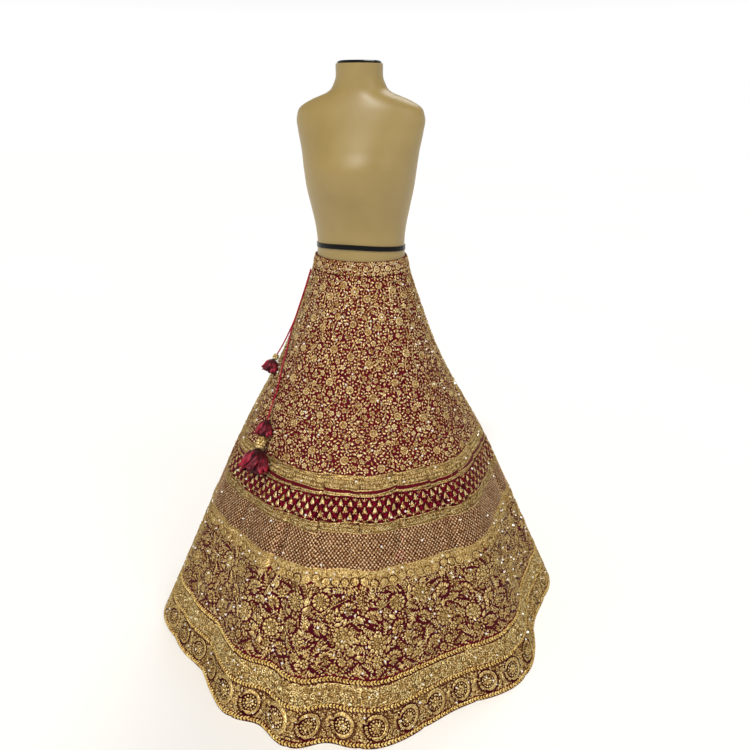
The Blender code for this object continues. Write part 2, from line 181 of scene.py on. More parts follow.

# %% [markdown]
# ## The skirt's silk
# The ground is dupion: crimson silk with thick and thin yarns (slubs), a faint sheen at grazing
# angles and a tinted shine. Its yarns are 0.2 mm apart, too fine to show, so they are drawn 1.6 mm
# apart. The latkans' petals are satin: the same silk, glossier, with painted shade and highlight
# in its folds, set by the petals' tone. A texture from a file would be quicker, but it would not
# follow the folds or stay sharp up close.

# %% Finishes: dupion silk and satin
SLUBS = (40, 400, 1)  # slubs 25 mm long and 2.5 mm wide, on a flat map in metres
DUPION_YARN, SATIN_YARN = 0.0016, 0.0014  # metres


def silk_finish(name, dark, light, roughness, yarn, shine=0.18, folds=0.0):
    """Woven silk: slubbed colour, painted fold shade where tone is low, and crossed waves as its yarns."""
    made, tree, shader = start_finish(name, Roughness=roughness, Specular_IOR_Level=shine, Sheen_Weight=0.10,
                                      Sheen_Roughness=0.4)
    shader.inputs["Specular Tint"].default_value = linear("#ff8a98")
    shader.inputs["Sheen Tint"].default_value = linear(light)
    flat = add_node(tree, "TexCoord").outputs["UV"]
    slub = add_node(tree, "Mapping", {"Vector": flat, "Scale": SLUBS}, vector_type="POINT")
    mottle = add_node(tree, "TexNoise", {"Vector": slub.outputs[0], "Scale": 1.0, "Detail": 4})
    share = add_node(tree, "MapRange", {VALUE: mottle.outputs[0], FROM_LOW: 0.3, FROM_HIGH: 0.7})
    # Painted shade and highlight: the tone moves the colour darker in the petals' folds, lighter on crests.
    if folds:
        tone = add_node(tree, "Attribute", attribute_name="tone")
        depth = add_node(tree, "MapRange", {VALUE: tone.outputs["Fac"], TO_LOW: -folds, TO_HIGH: folds})
        share = add_node(tree, "Math", {0: share.outputs[0], 1: depth.outputs[0]}, operation="ADD")
    vary(tree, shader, share.outputs[0], dark, light)
    yarns = {"Vector": flat, "Scale": WAVE_PITCH / yarn, "Distortion": 0.6}
    warp, weft = (add_node(tree, "TexWave", yarns, bands_direction=way).outputs["Fac"] for way in ("X", "Y"))
    crossed = add_node(tree, "Math", {0: warp, 1: weft}, operation="ADD")
    bump = add_node(tree, "Bump", {"Height": crossed.outputs[0], "Strength": 0.35, "Distance": 0.0002})
    tree.links.new(bump.outputs[0], shader.inputs["Normal"])
    return made


dupion = silk_finish("crimson_dupion_silk", "#2c040b", "#660a1c", 0.6, DUPION_YARN)
# A darker copy of the dupion for the large flowers' band: painted shade between raised motifs, low down.
shaded_silk_copy = silk_finish("crimson_silk_painted_shade", "#1e0308", "#500817", 0.65, DUPION_YARN)
# The satin's last setting is its painted fold shade, read from the petals' tone.
satin = silk_finish("crimson_satin_petals", "#120105", "#a0142f", 0.34, SATIN_YARN, 0.9, 0.9)
print("silk finishes made")

# %% [markdown]
# ## Shapes from grids
# Every new piece is a grid of points worked out at once by numpy: rows run one way over the
# surface, columns the other. Two triangles fill each cell. A grid can close on itself sideways, as
# a tube does, and both ways, as a ring does. A tube's ends are closed by a fan of triangles.

# %% Grids to meshes
def grid_triangles(rows, columns, closed_columns=False, closed_rows=False):
    """Two triangles for each cell. Rows going down and columns going right face the viewer."""
    r = np.arange(rows if closed_rows else rows - 1)[:, None]
    c = np.arange(columns if closed_columns else columns - 1)[None]
    below, right = (r + 1) % rows, (c + 1) % columns
    corners = (r * columns + c, below * columns + c, below * columns + right, r * columns + right)
    a, b, d, e = (np.broadcast_to(k, (r.size, c.size)).ravel() for k in corners)
    return np.concatenate([np.stack([a, b, d], 1), np.stack([a, d, e], 1)])


def closed_tube(rings):
    """Rings of points, first ring on top, with a middle point and a fan of triangles on each end."""
    rows, columns = rings.shape[:2]
    points = np.concatenate([rings.reshape(-1, 3), rings[:1].mean(1), rings[-1:].mean(1)])
    here, there = np.arange(columns), (np.arange(columns) + 1) % columns
    first = np.stack([np.full(columns, rows * columns), here, there], 1)
    last = (rows - 1) * columns + np.stack([np.full(columns, columns + 1), there, here], 1)
    return points, np.concatenate([grid_triangles(rows, columns, True), first, last])


def joined(parts):
    """Several (points, triangles) as one, with each part's point numbers moved on."""
    points, faces = zip(*parts)
    starts = np.cumsum([0] + [len(part) for part in points[:-1]])
    return np.concatenate(points), np.concatenate([part + start for part, start in zip(faces, starts)])


# %% Pieces
def add_piece(name, points, faces, finish, slot, flat_map=None, tone=None, smooth=True):
    """One mesh at the origin. The flat map is in metres, one pair for each point or each corner."""
    mesh = bpy.data.meshes.new(name)
    mesh.vertices.add(len(points))
    mesh.vertices.foreach_set("co", np.asarray(points, np.float32).ravel())
    mesh.loops.add(faces.size)
    mesh.loops.foreach_set("vertex_index", faces.astype(np.int32).ravel())
    mesh.polygons.add(len(faces))
    mesh.polygons.foreach_set("loop_start", np.arange(0, faces.size, 3, dtype=np.int32))
    mesh.polygons.foreach_set("use_smooth", np.full(len(faces), smooth))
    if flat_map is not None:
        corners = flat_map if len(flat_map) == faces.size else flat_map[faces.ravel()]
        mesh.uv_layers.new(name="flat").data.foreach_set("uv", np.asarray(corners, np.float32).ravel())
    if tone is not None:
        mesh.attributes.new("tone", "FLOAT", "POINT").data.foreach_set("value", np.asarray(tone, np.float32))
    mesh.update(calc_edges=True)
    mesh.materials.append(finish)
    piece = bpy.data.objects.new(name, mesh)
    bpy.context.scene.collection.objects.link(piece)
    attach(piece, "root")
    print(f"{name}: {len(faces)} triangles")
    return piece


# %% Lines and directions
def distances(points):
    """How far each point of a line is from its start, along the line."""
    return np.concatenate([[0], np.cumsum(np.linalg.norm(np.diff(points, axis=0), axis=1))])


def unit(vectors):
    """Vectors of length one."""
    return vectors / np.linalg.norm(vectors, axis=-1, keepdims=True)


def flat_pairs(across, down):
    """A grid's flat map, one pair of metres for each point."""
    return np.stack(np.broadcast_arrays(across, down), -1).reshape(-1, 2)


def through(points, step):
    """Evenly spaced points on a Catmull-Rom curve: each piece leaves a point along its neighbours' line."""
    points = np.asarray(points, float)
    ends = np.concatenate([[2 * points[0] - points[1]], points, [2 * points[-1] - points[-2]]])
    t = np.linspace(0, 1, 24, endpoint=False)[:, None]
    runs = []
    for p, q, r, s in zip(ends, ends[1:], ends[2:], ends[3:]):
        square, cube = 2 * p - 5 * q + 4 * r - s, 3 * q - p - 3 * r + s
        runs.append(0.5 * (2 * q + (r - p) * t + square * t**2 + cube * t**3))
    fine = np.concatenate(runs + [points[-1:]])
    along = distances(fine)
    even = np.linspace(0, along[-1], max(2, round(along[-1] / step) + 1))
    return np.stack([np.interp(even, along, fine[:, k]) for k in range(points.shape[1])], axis=1)


# %% [markdown]
# ## Drawstrings
# Two crimson cords leave the waistband at the wearer's right and run down over the skirt, each to
# a hanging ornament (a latkan). They are 4 mm cords of three plies. A bevelled curve would be a
# plain tube, so the rings are worked out: the middle line repeats the solid model's route, and the
# section swells three times round, with the swell turning along it as the plies do.

# %% Drawstrings
# Each route goes through these places, as x, y and height, and its latkan hangs towards its end.
LONG_ROUTE = (
    (-0.1272, -0.0389, 0.9860),
    (-0.1420, -0.0448, 0.9400),
    (-0.1615, -0.0572, 0.8800),
    (-0.1767, -0.0787, 0.8240),
    (-0.1795, -0.1079, 0.7820),
    (-0.1826, -0.1401, 0.7420),
    (-0.1836, -0.1712, 0.7000),
    (-0.1894, -0.2067, 0.6580),
    (-0.1902, -0.2391, 0.6310),
)
LONG_END = (-0.2011, -0.3554, 0.4950)
SHORT_ROUTE = (
    (-0.1324, -0.0257, 0.9860),
    (-0.1474, -0.0300, 0.9400),
    (-0.1638, -0.0378, 0.8900),
    (-0.1800, -0.0516, 0.8400),
    (-0.2016, -0.0734, 0.7880),
    (-0.2158, -0.0939, 0.7580),
)
SHORT_END = (-0.2406, -0.1503, 0.6900)
CORD_DIAMETER, CORD_RADIUS = 0.0040, 0.00215  # metres: the mean, and out over a ply
CORD_STEP, CORD_SIDES = 0.0020, 12  # metres between rings, a ninth of a turn of the plies; points in a ring
PLIES, PLY_SWELL, CORD_LAY = 3, 0.10, 0.018  # a ply goes once round in 18 mm

# A latkan's pieces, down its own straight axis: name, start and end in metres from the top, radius,
# and how many lobes or beads go round it.
LONG_LATKAN = (
    ("latkan_upper_flower", 0.0003, 0.0443, 0.0190, 6),
    ("latkan_beads", 0.0446, 0.0786, 0.0140, 8),
    ("latkan_lower_flower", 0.0789, 0.1409, 0.0330, 7),
)
SHORT_LATKAN = (
    ("latkan_short_beads", 0.0003, 0.0163, 0.0100, 8),
    ("latkan_short_flower", 0.0166, 0.0546, 0.0195, 6),
)
THREADED_SHARE = 0.4  # how far down its last flower a cord runs
DRAWSTRINGS = {
    "drawstring_long": (LONG_ROUTE, LONG_END, LONG_LATKAN),
    "drawstring_short": (SHORT_ROUTE, SHORT_END, SHORT_LATKAN),
}


# %% Twisted cords
def latkan_axis(route, end):
    """Where a latkan starts, and the way that it hangs."""
    top = np.array(route[-1])
    return top, unit(np.array(end) - top)


def across_axis(way):
    """Two directions square to a way and to each other, that make a right-handed set with its opposite."""
    side = unit(np.cross(way, (0, 0, 1.0)))
    return side, np.cross(side, way)


def ring_of(side, front, angle):
    """Directions round an axis: side by the cosine of each angle, front by its sine."""
    return side * np.cos(angle)[..., None] + front * np.sin(angle)[..., None]


def cord_line(route, end, latkan):
    """Down the skirt on a smooth curve, then straight on into the last flower."""
    top, way = latkan_axis(route, end)
    start, stop = latkan[-1][1:3]
    inside = start + THREADED_SHARE * (stop - start)
    threaded = top + way * np.linspace(0, inside, round(inside / CORD_STEP) + 1)[1:, None]
    return np.concatenate([through(route, CORD_STEP), threaded])


def twisted_cord(name, line, finish):
    """Rings about the line, of radius R (1 - swell + swell cos(plies (angle - turn along the lay)))."""
    way = unit(np.gradient(line, axis=0))
    outwards = line * (1, 1, 0) / np.linalg.norm(line[:, :2], axis=1, keepdims=True)
    side = unit(np.cross(way, outwards))
    front = np.cross(side, way)
    along = distances(line)
    angle = np.arange(CORD_SIDES) * math.tau / CORD_SIDES
    twist = PLIES * (angle[None] - math.tau * along[:, None] / CORD_LAY)
    radius = CORD_RADIUS * (1 - PLY_SWELL + PLY_SWELL * np.cos(twist))
    rings = line[:, None] + radius[..., None] * ring_of(side[:, None], front[:, None], angle)
    points, faces = closed_tube(rings)
    flat = np.concatenate([flat_pairs(angle * CORD_RADIUS, along[:, None]), [[0, 0], [0, along[-1]]]])
    # Painted shade and highlight: the tone is light on each ply's crest and dark between the plies.
    tone = np.append(0.5 + 0.5 * np.cos(twist), (0.5, 0.5))
    return add_piece(name, points, faces, finish, "crimson_cord", flat, tone)


cords = {}
for node, (route, end, latkan) in DRAWSTRINGS.items():
    line = cord_line(route, end, latkan)
    cords[node] = twisted_cord(node + "_cord", line, crimson_cord)
    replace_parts(cords[node], node)
    print(node, "is", round(float(distances(line)[-1]), 3), "m long")

# %% [markdown]
# ## Latkans
# A latkan's flower is a length of satin gathered on the cord and turned down, so it is narrow at
# the top, widest low down, and ruffled at its edge. It could be simulated, but formulas give the
# same gathers and are exact. A gathered heart comes first: a turned outline whose radius waves
# round the axis. Three tiers of folded petals lie over it. Gilt beads hang above or between the
# flowers, threaded in rings. Each ring's beads nest between those of the next.

# %% Latkan flowers
# The outline of a flower, as shares of its length and of its radius. A petal follows its first part.
FLOWER_OUTLINE = (
    (0.00, 0.20),
    (0.06, 0.30),
    (0.20, 0.50),
    (0.42, 0.78),
    (0.64, 0.95),
    (0.84, 1.00),
    (0.98, 0.86),
    (1.00, 0.66),
    (0.90, 0.40),
    (0.80, 0.16),
)
PETAL_OUTLINE = tuple(zip(*FLOWER_OUTLINE[:6]))
FRILLS_PER_LOBE, FLOWER_COLUMNS_PER_LOBE = 3, 12
# The heart's dark tone is painted shade, deep in the flower under its petals.
HEART_SHARE, HEART_PAINTED_SHADE = 0.60, 0.1  # the heart's radius, as a share of the flower's, and its dark tone
SATIN = 0.0009  # metres thick
PETAL_ROWS, PETAL_COLUMNS, PETALS_PER_TIER = 14, 14, 5
PETAL_CUP, PETAL_FOLD, PETAL_CRUMPLE, PETAL_LIP = 0.44, 0.12, 0.10, 0.10  # shares of the radius
# Each tier's start and end, reach, half width and turn, as shares of the length, the radius and a petal.
TIERS = ((0.02, 0.72, 0.96, 0.52, 0.0), (0.12, 0.88, 1.06, 0.50, 0.5), (0.30, 1.02, 0.90, 0.48, 0.25))


def folded_petal(row, tier, number, top, way, side, front):
    """A cupped petal on the flower's outline: radius (outline (1 - cup t^2) + fold + crumple + lip).

    Here s runs from its foot to its lip and t from side to side. Its tone, apart from a share of
    its own, is painted shade and highlight: lighter on the crumples' crests, darker in the folds,
    at the foot, at its sides and on its inner face.
    """
    start, stop, radius = row[1:4]
    starts, ends, reach, half_width, turn = tier
    s = np.linspace(0, 1, PETAL_ROWS)[:, None]
    t = np.linspace(-1, 1, PETAL_COLUMNS)[None]
    wide = np.sin(math.pi * (0.12 + 0.80 * s)) ** 0.7
    angle = (number + turn + half_width * wide * t) * math.tau / PETALS_PER_TIER
    outline = np.sin(math.pi / 2 * np.interp(starts + (ends - starts) * s, *PETAL_OUTLINE))
    fold = np.sin(2.8 * t + 2.4 * number + 5 * turn) * s**1.2
    crumple = np.sin(4.5 * t + 4 * s + 1.7 * number) * np.sin(7 * s + 2 * t + 2 * number + turn) * s**0.7
    wave = PETAL_FOLD * fold + PETAL_CRUMPLE * crumple + PETAL_LIP * np.clip(s - 0.8, 0, 1) * 5
    away = radius * reach * (outline * (1 - PETAL_CUP * t**2) + wave)
    frill = 0.05 * np.sin(5 * t + 1.3 * number) * s**3
    fall = start + (stop - start) * (starts + (ends - starts) * s * (1 - 0.14 * t**2 * s) + frill)
    outer, inner = (top + fall[..., None] * way + distance[..., None] * ring_of(side, front, angle)
                    for distance in (away, away - SATIN))
    points, faces = closed_tube(np.concatenate([outer, inner[:, ::-1]], axis=1))
    flat = np.stack(np.broadcast_arrays(t * radius * wide, s * (stop - start)), -1)
    flat = np.concatenate([flat, flat[:, ::-1]], axis=1).reshape(-1, 2)
    own = 0.58 + 0.16 * math.sin(2.7 * number + 9 * starts)
    # Painted shade and highlight: light on the crests, dark in the folds, at the foot and at the sides.
    tone = own + 0.15 * fold + 0.38 * crumple - 0.5 * (1 - s) ** 2 - 0.55 * np.abs(t) ** 2.5
    tone = np.clip(tone, 0, 1)
    # Painted shade: the inner face of each petal is darker still.
    tone = np.concatenate([tone, 0.3 * tone[:, ::-1]], axis=1)
    return points, faces, np.concatenate([flat, [[0, 0], [0, stop - start]]]), np.append(tone, (0, 0))


def gathered_flower(row, top, way):
    """A gathered heart, its radius waved by lobes and frills, with three tiers of folded petals over it."""
    name, start, stop, radius, lobes = row
    down, wide = through(FLOWER_OUTLINE, 0.085).T[..., None]
    open_share = np.clip(wide - 0.2, 0, 1)
    angle = np.arange(lobes * FLOWER_COLUMNS_PER_LOBE) * math.tau / (lobes * FLOWER_COLUMNS_PER_LOBE)
    lobe = np.abs(np.cos(lobes * angle / 2)) ** 0.6
    frill = np.cos(lobes * FRILLS_PER_LOBE * angle + 1.5 * np.sin(lobes * angle / 2))
    crumple = np.sin(5 * angle + 9 * down) * np.cos(3 * angle - 5 * down)
    reach = 1 - 0.46 * open_share * (1 - lobe) + open_share * (0.07 * frill + 0.10 * crumple)
    reach = HEART_SHARE * radius * wide * reach
    fall = start + (stop - start) * (down - 0.12 * open_share * (1 - lobe) + 0.03 * open_share * frill)
    side, front = across_axis(way)
    points, faces = closed_tube(top + fall[..., None] * way + reach[..., None] * ring_of(side, front, angle))
    flat = np.concatenate([flat_pairs(angle * radius, fall), [[0, start], [0, stop]]])
    parts = [(points, faces, flat, np.full(len(points), HEART_PAINTED_SHADE))]
    for tier in TIERS:
        parts += [folded_petal(row, tier, number, top, way, side, front) for number in range(PETALS_PER_TIER)]
    points, faces = joined([part[:2] for part in parts])
    flat, tone = (np.concatenate([part[k] for part in parts]) for k in (2, 3))
    return add_piece(name + "_satin", points, faces, satin, "crimson_silk", flat, tone)


# %% Latkan beads
BEAD_ROWS, BEAD_COLUMNS = 7, 10
LONG_BEAD, SHORT_BEAD = 0.0046, 0.0032  # metres, the radius
CORE_SHARES = np.array([0.4, 0.62, 0.7, 0.62, 0.4])  # the core's radius down its length, as shares


def sphere(radius):
    """A small ball of rings from pole to pole, closed by fans."""
    down = np.linspace(0, math.pi, BEAD_ROWS + 2)[1:-1]
    angle = np.arange(BEAD_COLUMNS) * math.tau / BEAD_COLUMNS
    ring = np.stack([np.sin(angle), -np.cos(angle), np.zeros(BEAD_COLUMNS)], -1)
    rings = radius * (ring[None] * np.sin(down)[:, None, None] + np.cos(down)[:, None, None] * (0, 0, 1))
    return closed_tube(rings)


def threaded_beads(row, top, way, bead):
    """Rings of beads on a barrel outline, each ring turned half a bead from the last, on a thin core."""
    name, start, stop, radius, around = row
    side, front = across_axis(way)
    rings = max(1, round((stop - start) / (1.7 * bead)))
    down = np.linspace(start + bead, stop - bead, rings)
    belly = np.sin(math.pi * np.linspace(0.22, 0.78, rings)) if rings > 1 else np.ones(1)
    angle = (np.arange(around)[None] + 0.5 * (np.arange(rings) % 2)[:, None]) * math.tau / around
    reach = (radius - bead) * belly[:, None, None]
    middles = (top + way * down[:, None, None] + reach * ring_of(side, front, angle)).reshape(-1, 3)
    ball, ball_faces = sphere(bead)
    angle = np.arange(around * 2) * math.tau / (around * 2)
    levels = np.linspace(start, stop, len(CORE_SHARES))[:, None, None]
    core = top + way * levels + ring_of(side, front, angle)[None] * (radius * CORE_SHARES)[:, None, None]
    points, faces = joined([(ball + middle, ball_faces) for middle in middles] + [closed_tube(core)])
    tone = np.repeat(np.linspace(0.2, 0.9, len(middles)), len(ball))
    tone = np.concatenate([tone, np.zeros(len(points) - len(tone))])
    return add_piece(name + "_gilt", points, faces, zari_gold, "gold_beads", points[:, :2], tone)


# %% Latkans on their cords
hung = 0
for (node, (route, end, latkan)), bead in zip(DRAWSTRINGS.items(), (LONG_BEAD, SHORT_BEAD)):
    top, way = latkan_axis(route, end)
    pieces = [threaded_beads(row, top, way, bead) if "beads" in row[0] else gathered_flower(row, top, way)
              for row in latkan]
    for row, piece in zip(latkan, pieces):
        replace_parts(piece, row[0])
    hung += len(pieces)
    line = cord_line(route, end, latkan)
print("latkans threaded:", hung, "pieces")

# %% [markdown]
# ## The skirt's surface
# The skirt is a bell: an ellipse at each height, wider downwards. Deep folds open towards the hem,
# each gore swells a little between its seams, and each seam is drawn in. The solid model has the
# same bell, folds and gores. Finer creases are added here, each a soft trough along its own line.
# A table with a row for each fold is easier to change than a sculpted mesh.

# %% The skirt's sizes
WAIST_TOP, PANEL_TOP = 1.030, 0.995  # metres: the waistband's top edge, and the gores'
CLOTH = 0.002  # metres thick
KALIS = 24
KALI_STEP = 360 / KALIS
GORE_BULGE_WAIST, GORE_BULGE_HEM = 0.0008, 0.0045
SEAM_DEPTH, SEAM_HALF_WIDTH = 0.0012, 0.0045

# The bell's sections: height, half width, half depth, and how far forward its middle lies.
SECTIONS = (
    (1.030, 0.1212, 0.0965, 0.000),
    (0.995, 0.1290, 0.1030, 0.001),
    (0.900, 0.1610, 0.1390, 0.003),
    (0.772, 0.2110, 0.1910, 0.008),
    (0.515, 0.3480, 0.3350, 0.015),
    (0.257, 0.4630, 0.4680, 0.023),
    (0.000, 0.5710, 0.6050, 0.030),
)
# Folds: azimuth in degrees, half width in degrees, depth at the hem, and the height where it starts.
FOLDS = (
    (-55, 9.0, 0.026, 0.80),
    (-31, 8.0, -0.022, 0.62),
    (-16, 5.0, 0.015, 0.50),
    (-8, 4.0, -0.010, 0.66),
    (0, 5.5, 0.028, 0.58),
    (8, 4.0, -0.010, 0.86),
    (17, 7.0, 0.014, 0.74),
    (38, 9.0, -0.026, 0.70),
    (60, 9.0, 0.026, 0.76),
    (80, 8.0, -0.020, 0.60),
    (99, 9.0, 0.024, 0.82),
    (119, 7.5, -0.022, 0.66),
    (137, 8.5, 0.027, 0.72),
    (156, 7.0, -0.018, 0.58),
    (174, 9.0, 0.025, 0.84),
    (-165, 7.0, -0.021, 0.64),
    (-146, 8.0, 0.022, 0.70),
    (-126, 8.0, -0.024, 0.60),
    (-105, 8.5, 0.025, 0.78),
    (-79, 8.0, -0.016, 0.66),
)
# Creases: the azimuth and height of the top, then of the foot, half width, and depth.
CREASES = (
    (-9.5, 0.56, -18.5, 0.09, 0.013, 0.0060),
    (0.5, 0.55, 3.0, 0.13, 0.011, 0.0050),
    (-34.0, 0.48, -36.0, 0.17, 0.014, 0.0060),
    (-3.5, 0.97, -4.6, 0.75, 0.007, 0.0030),
    (-12.0, 0.72, -6.5, 0.50, 0.009, 0.0035),
    (11.0, 0.64, 10.0, 0.30, 0.011, 0.0040),
    (31.0, 0.62, 28.0, 0.38, 0.012, 0.0045),
    (23.0, 0.44, 26.0, 0.08, 0.013, 0.0050),
    (-26.0, 0.88, -24.0, 0.70, 0.008, 0.0030),
    (50.0, 0.60, 48.0, 0.17, 0.013, 0.0055),
    (70.0, 0.93, 66.0, 0.72, 0.008, 0.0030),
    (88.0, 0.50, 92.0, 0.10, 0.014, 0.0060),
    (108.0, 0.68, 112.0, 0.38, 0.011, 0.0040),
    (129.0, 0.48, 124.0, 0.09, 0.013, 0.0055),
    (147.0, 0.90, 150.0, 0.68, 0.008, 0.0035),
    (165.0, 0.56, 169.0, 0.15, 0.012, 0.0050),
    (-172.0, 0.64, -168.0, 0.33, 0.011, 0.0045),
    (-156.0, 0.46, -152.0, 0.08, 0.014, 0.0060),
    (-136.0, 0.88, -139.0, 0.66, 0.008, 0.0030),
    (-117.0, 0.52, -114.0, 0.14, 0.013, 0.0055),
    (-96.0, 0.66, -99.0, 0.36, 0.010, 0.0040),
    (-84.0, 0.46, -80.0, 0.09, 0.013, 0.0055),
    (-64.0, 0.54, -61.0, 0.20, 0.012, 0.0050),
)
print(len(FOLDS), "folds and", len(CREASES), "creases")


# %% The skirt's surface
TURN_STEP, HEIGHT_STEP = 0.1, 0.001  # degrees and metres, to measure a slope over


def place(azimuth, radius, height):
    """Points from azimuths in degrees (0 in front, 90 at the wearer's left), distances and heights."""
    turn = np.radians(azimuth)
    return np.stack(np.broadcast_arrays(radius * np.sin(turn), -radius * np.cos(turn), height), axis=-1)


def smooth_columns(height, table):
    """A cubic through each column of a table after its heights, with slopes taken from the neighbours."""
    heights, *columns = np.array(table)[::-1].T
    height = np.clip(height, heights[0], heights[-1])
    i = np.clip(np.searchsorted(heights, height) - 1, 0, len(heights) - 2)
    span = heights[i + 1] - heights[i]
    t = (height - heights[i]) / span
    starts, leaves = 2 * t**3 - 3 * t**2 + 1, (t**3 - 2 * t**2 + t) * span
    ends, arrives = 3 * t**2 - 2 * t**3, (t**3 - t**2) * span
    slopes = [np.gradient(values, heights) for values in columns]
    return [starts * values[i] + leaves * slope[i] + ends * values[i + 1] + arrives * slope[i + 1]
            for values, slope in zip(columns, slopes)]


def bell_radius(azimuth, height):
    """Distance from the pole's axis to an ellipse whose middle lies a little forward of it."""
    turn = np.radians(azimuth)
    wide, deep, forward = smooth_columns(height, SECTIONS)
    a = (np.sin(turn) / wide) ** 2 + (np.cos(turn) / deep) ** 2
    b = -2 * forward * np.cos(turn) / deep**2
    c = (forward / deep) ** 2 - 1
    return (-b + np.sqrt(b * b - 4 * a * c)) / (2 * a)


def turned_from(azimuth, middle):
    """Degrees from a middle, between -180 and 180."""
    return (azimuth - middle + 180) % 360 - 180


# %% Folds, creases and seams
def folds_at(azimuth, height):
    """Each fold is depth exp(-(degrees off / half width)^2), and grows downwards from its start."""
    swell = np.zeros_like(azimuth)
    for middle, half_width, depth, start in FOLDS:
        grown = np.clip((start - height) / start, 0, 1) ** 1.3
        swell += depth * np.exp(-((turned_from(azimuth, middle) / half_width) ** 2)) * grown
    return swell


def creases_at(azimuth, height, bell):
    """Each crease is a trough depth exp(-(metres off / half width)^2), faded in and out along its line."""
    sink = np.zeros_like(azimuth)
    for top_azimuth, top_height, foot_azimuth, foot_height, half_width, depth in CREASES:
        along = (top_height - height) / (top_height - foot_height)
        off = np.radians(turned_from(azimuth, top_azimuth + (foot_azimuth - top_azimuth) * along)) * bell
        trough = np.exp(-((off / half_width) ** 2)) * np.sin(math.pi * np.clip(along, 0, 1)) ** 0.7
        sink += np.where((along > 0) & (along < 1), depth * trough, 0)
    return sink


def cloth_radius(azimuth, height):
    """The bell and its folds, less the creases, plus 4 x (1 - x) of a gore's swell, less its seams."""
    azimuth, height = np.broadcast_arrays(np.asarray(azimuth, float), np.asarray(height, float))
    bell = bell_radius(azimuth, height)
    across = (azimuth / KALI_STEP) % 1
    down = 1 - height / WAIST_TOP
    bulge = 4 * across * (1 - across) * (GORE_BULGE_WAIST + (GORE_BULGE_HEM - GORE_BULGE_WAIST) * down)
    from_seam = np.radians(np.minimum(across, 1 - across) * KALI_STEP) * bell
    seam = SEAM_DEPTH * np.exp(-((from_seam / SEAM_HALF_WIDTH) ** 2))
    return bell + folds_at(azimuth, height) - creases_at(azimuth, height, bell) + bulge - seam


def lifted(azimuth, height, lift):
    """Points off the cloth along its own outward direction, which is square to its slopes both ways."""
    azimuth, height = np.broadcast_arrays(azimuth, height)
    radius = cloth_radius(azimuth, height)
    turned = (cloth_radius(azimuth + TURN_STEP, height) - radius) / np.radians(TURN_STEP) / radius
    lowered = (cloth_radius(azimuth, height + HEIGHT_STEP) - radius) / HEIGHT_STEP
    turn = np.radians(azimuth)
    sine, cosine, flat = np.sin(turn), np.cos(turn), np.zeros_like(turn)
    outwards = np.stack([sine, -cosine, flat], -1) - turned[..., None] * np.stack([cosine, sine, flat], -1)
    outwards[..., 2] -= lowered
    return place(azimuth, radius, height) + np.asarray(lift)[..., None] * unit(outwards)


# %% [markdown]
# ## From flat gores to the skirt
# Embroiderers work on a gore while it lies flat. So each motif is placed in a flat gore, across
# from its middle and down from the waist, and one function bends the flat gore on to the skirt.
# Two measured tables make that true to size: the skirt's girth, and the distance down its slope.
# A ring of embroidery never quite meets its neighbour at a seam, so each gore is a little off.

# %% Flat gores
SEAM_STEP = 0.0022  # metres: how far up or down one gore's embroidery may be off
STEP_FOOT, STEP_HEAD = (0.20, 0.10), (0.66, 0.06)  # metres: where the steps fade out, and over what height
LOWEST = 0.0004  # metres: no motif reaches below this

HEIGHTS = np.linspace(WAIST_TOP, 0, 413)
around = np.arange(0, 360, 0.5)
rings = place(around, cloth_radius(around, HEIGHTS[:, None]), HEIGHTS[:, None])
GIRTHS = np.linalg.norm(rings - np.roll(rings, 1, 1), axis=2).sum(1)
SLOPES = np.concatenate([[0], np.cumsum(np.linalg.norm(np.diff(rings, axis=0), axis=2).mean(1))])
HEM_GIRTH, SIDE_LENGTH = float(GIRTHS[-1]), float(SLOPES[-1])
seam_steps = np.random.default_rng(7).uniform(-SEAM_STEP, SEAM_STEP, KALIS)


def slope_at(height):
    """Metres down the cloth from the waist's top edge."""
    return np.interp(height, HEIGHTS[::-1], SLOPES[::-1])


def gore_width(down):
    """A gore's width at a distance down the cloth: the girth there, shared by all the gores."""
    return np.interp(down, SLOPES, GIRTHS) / KALIS


def on_skirt(kali, across, down, lift):
    """A flat gore's place on the skirt: down becomes a height, and across a share of the girth there."""
    height = np.interp(down, SLOPES, HEIGHTS)
    between = np.clip((height - STEP_FOOT[0]) / STEP_FOOT[1], 0, 1)
    between = between * np.clip((STEP_HEAD[0] - height) / STEP_HEAD[1], 0, 1)
    height = np.clip(height + seam_steps[kali] * between, LOWEST, WAIST_TOP)
    azimuth = (kali + 0.5) * KALI_STEP + 360 * across / np.interp(height, HEIGHTS[::-1], GIRTHS[::-1])
    return lifted(azimuth, height, lift)


# %% [markdown]
# ## The skirt's cloth
# The 24 gores are sewn into one tube, so one closed shell stands for them: 2 mm of silk and
# lining. A Solidify modifier would give the wall too, but rings worked out for both faces let the
# outer rows lie close together to take the creases, while the inner ones are few. The grid closes
# on itself both ways, so there is no open edge at the waist or the hem.

# %% Cloth
COLUMNS_PER_KALI, OUTER_ROWS, INNER_ROWS = 20, 112, 16
SKIRT_COLUMNS = KALIS * COLUMNS_PER_KALI
UNDER_BAND = PANEL_TOP - 0.0003  # metres: the gores end just under the waistband


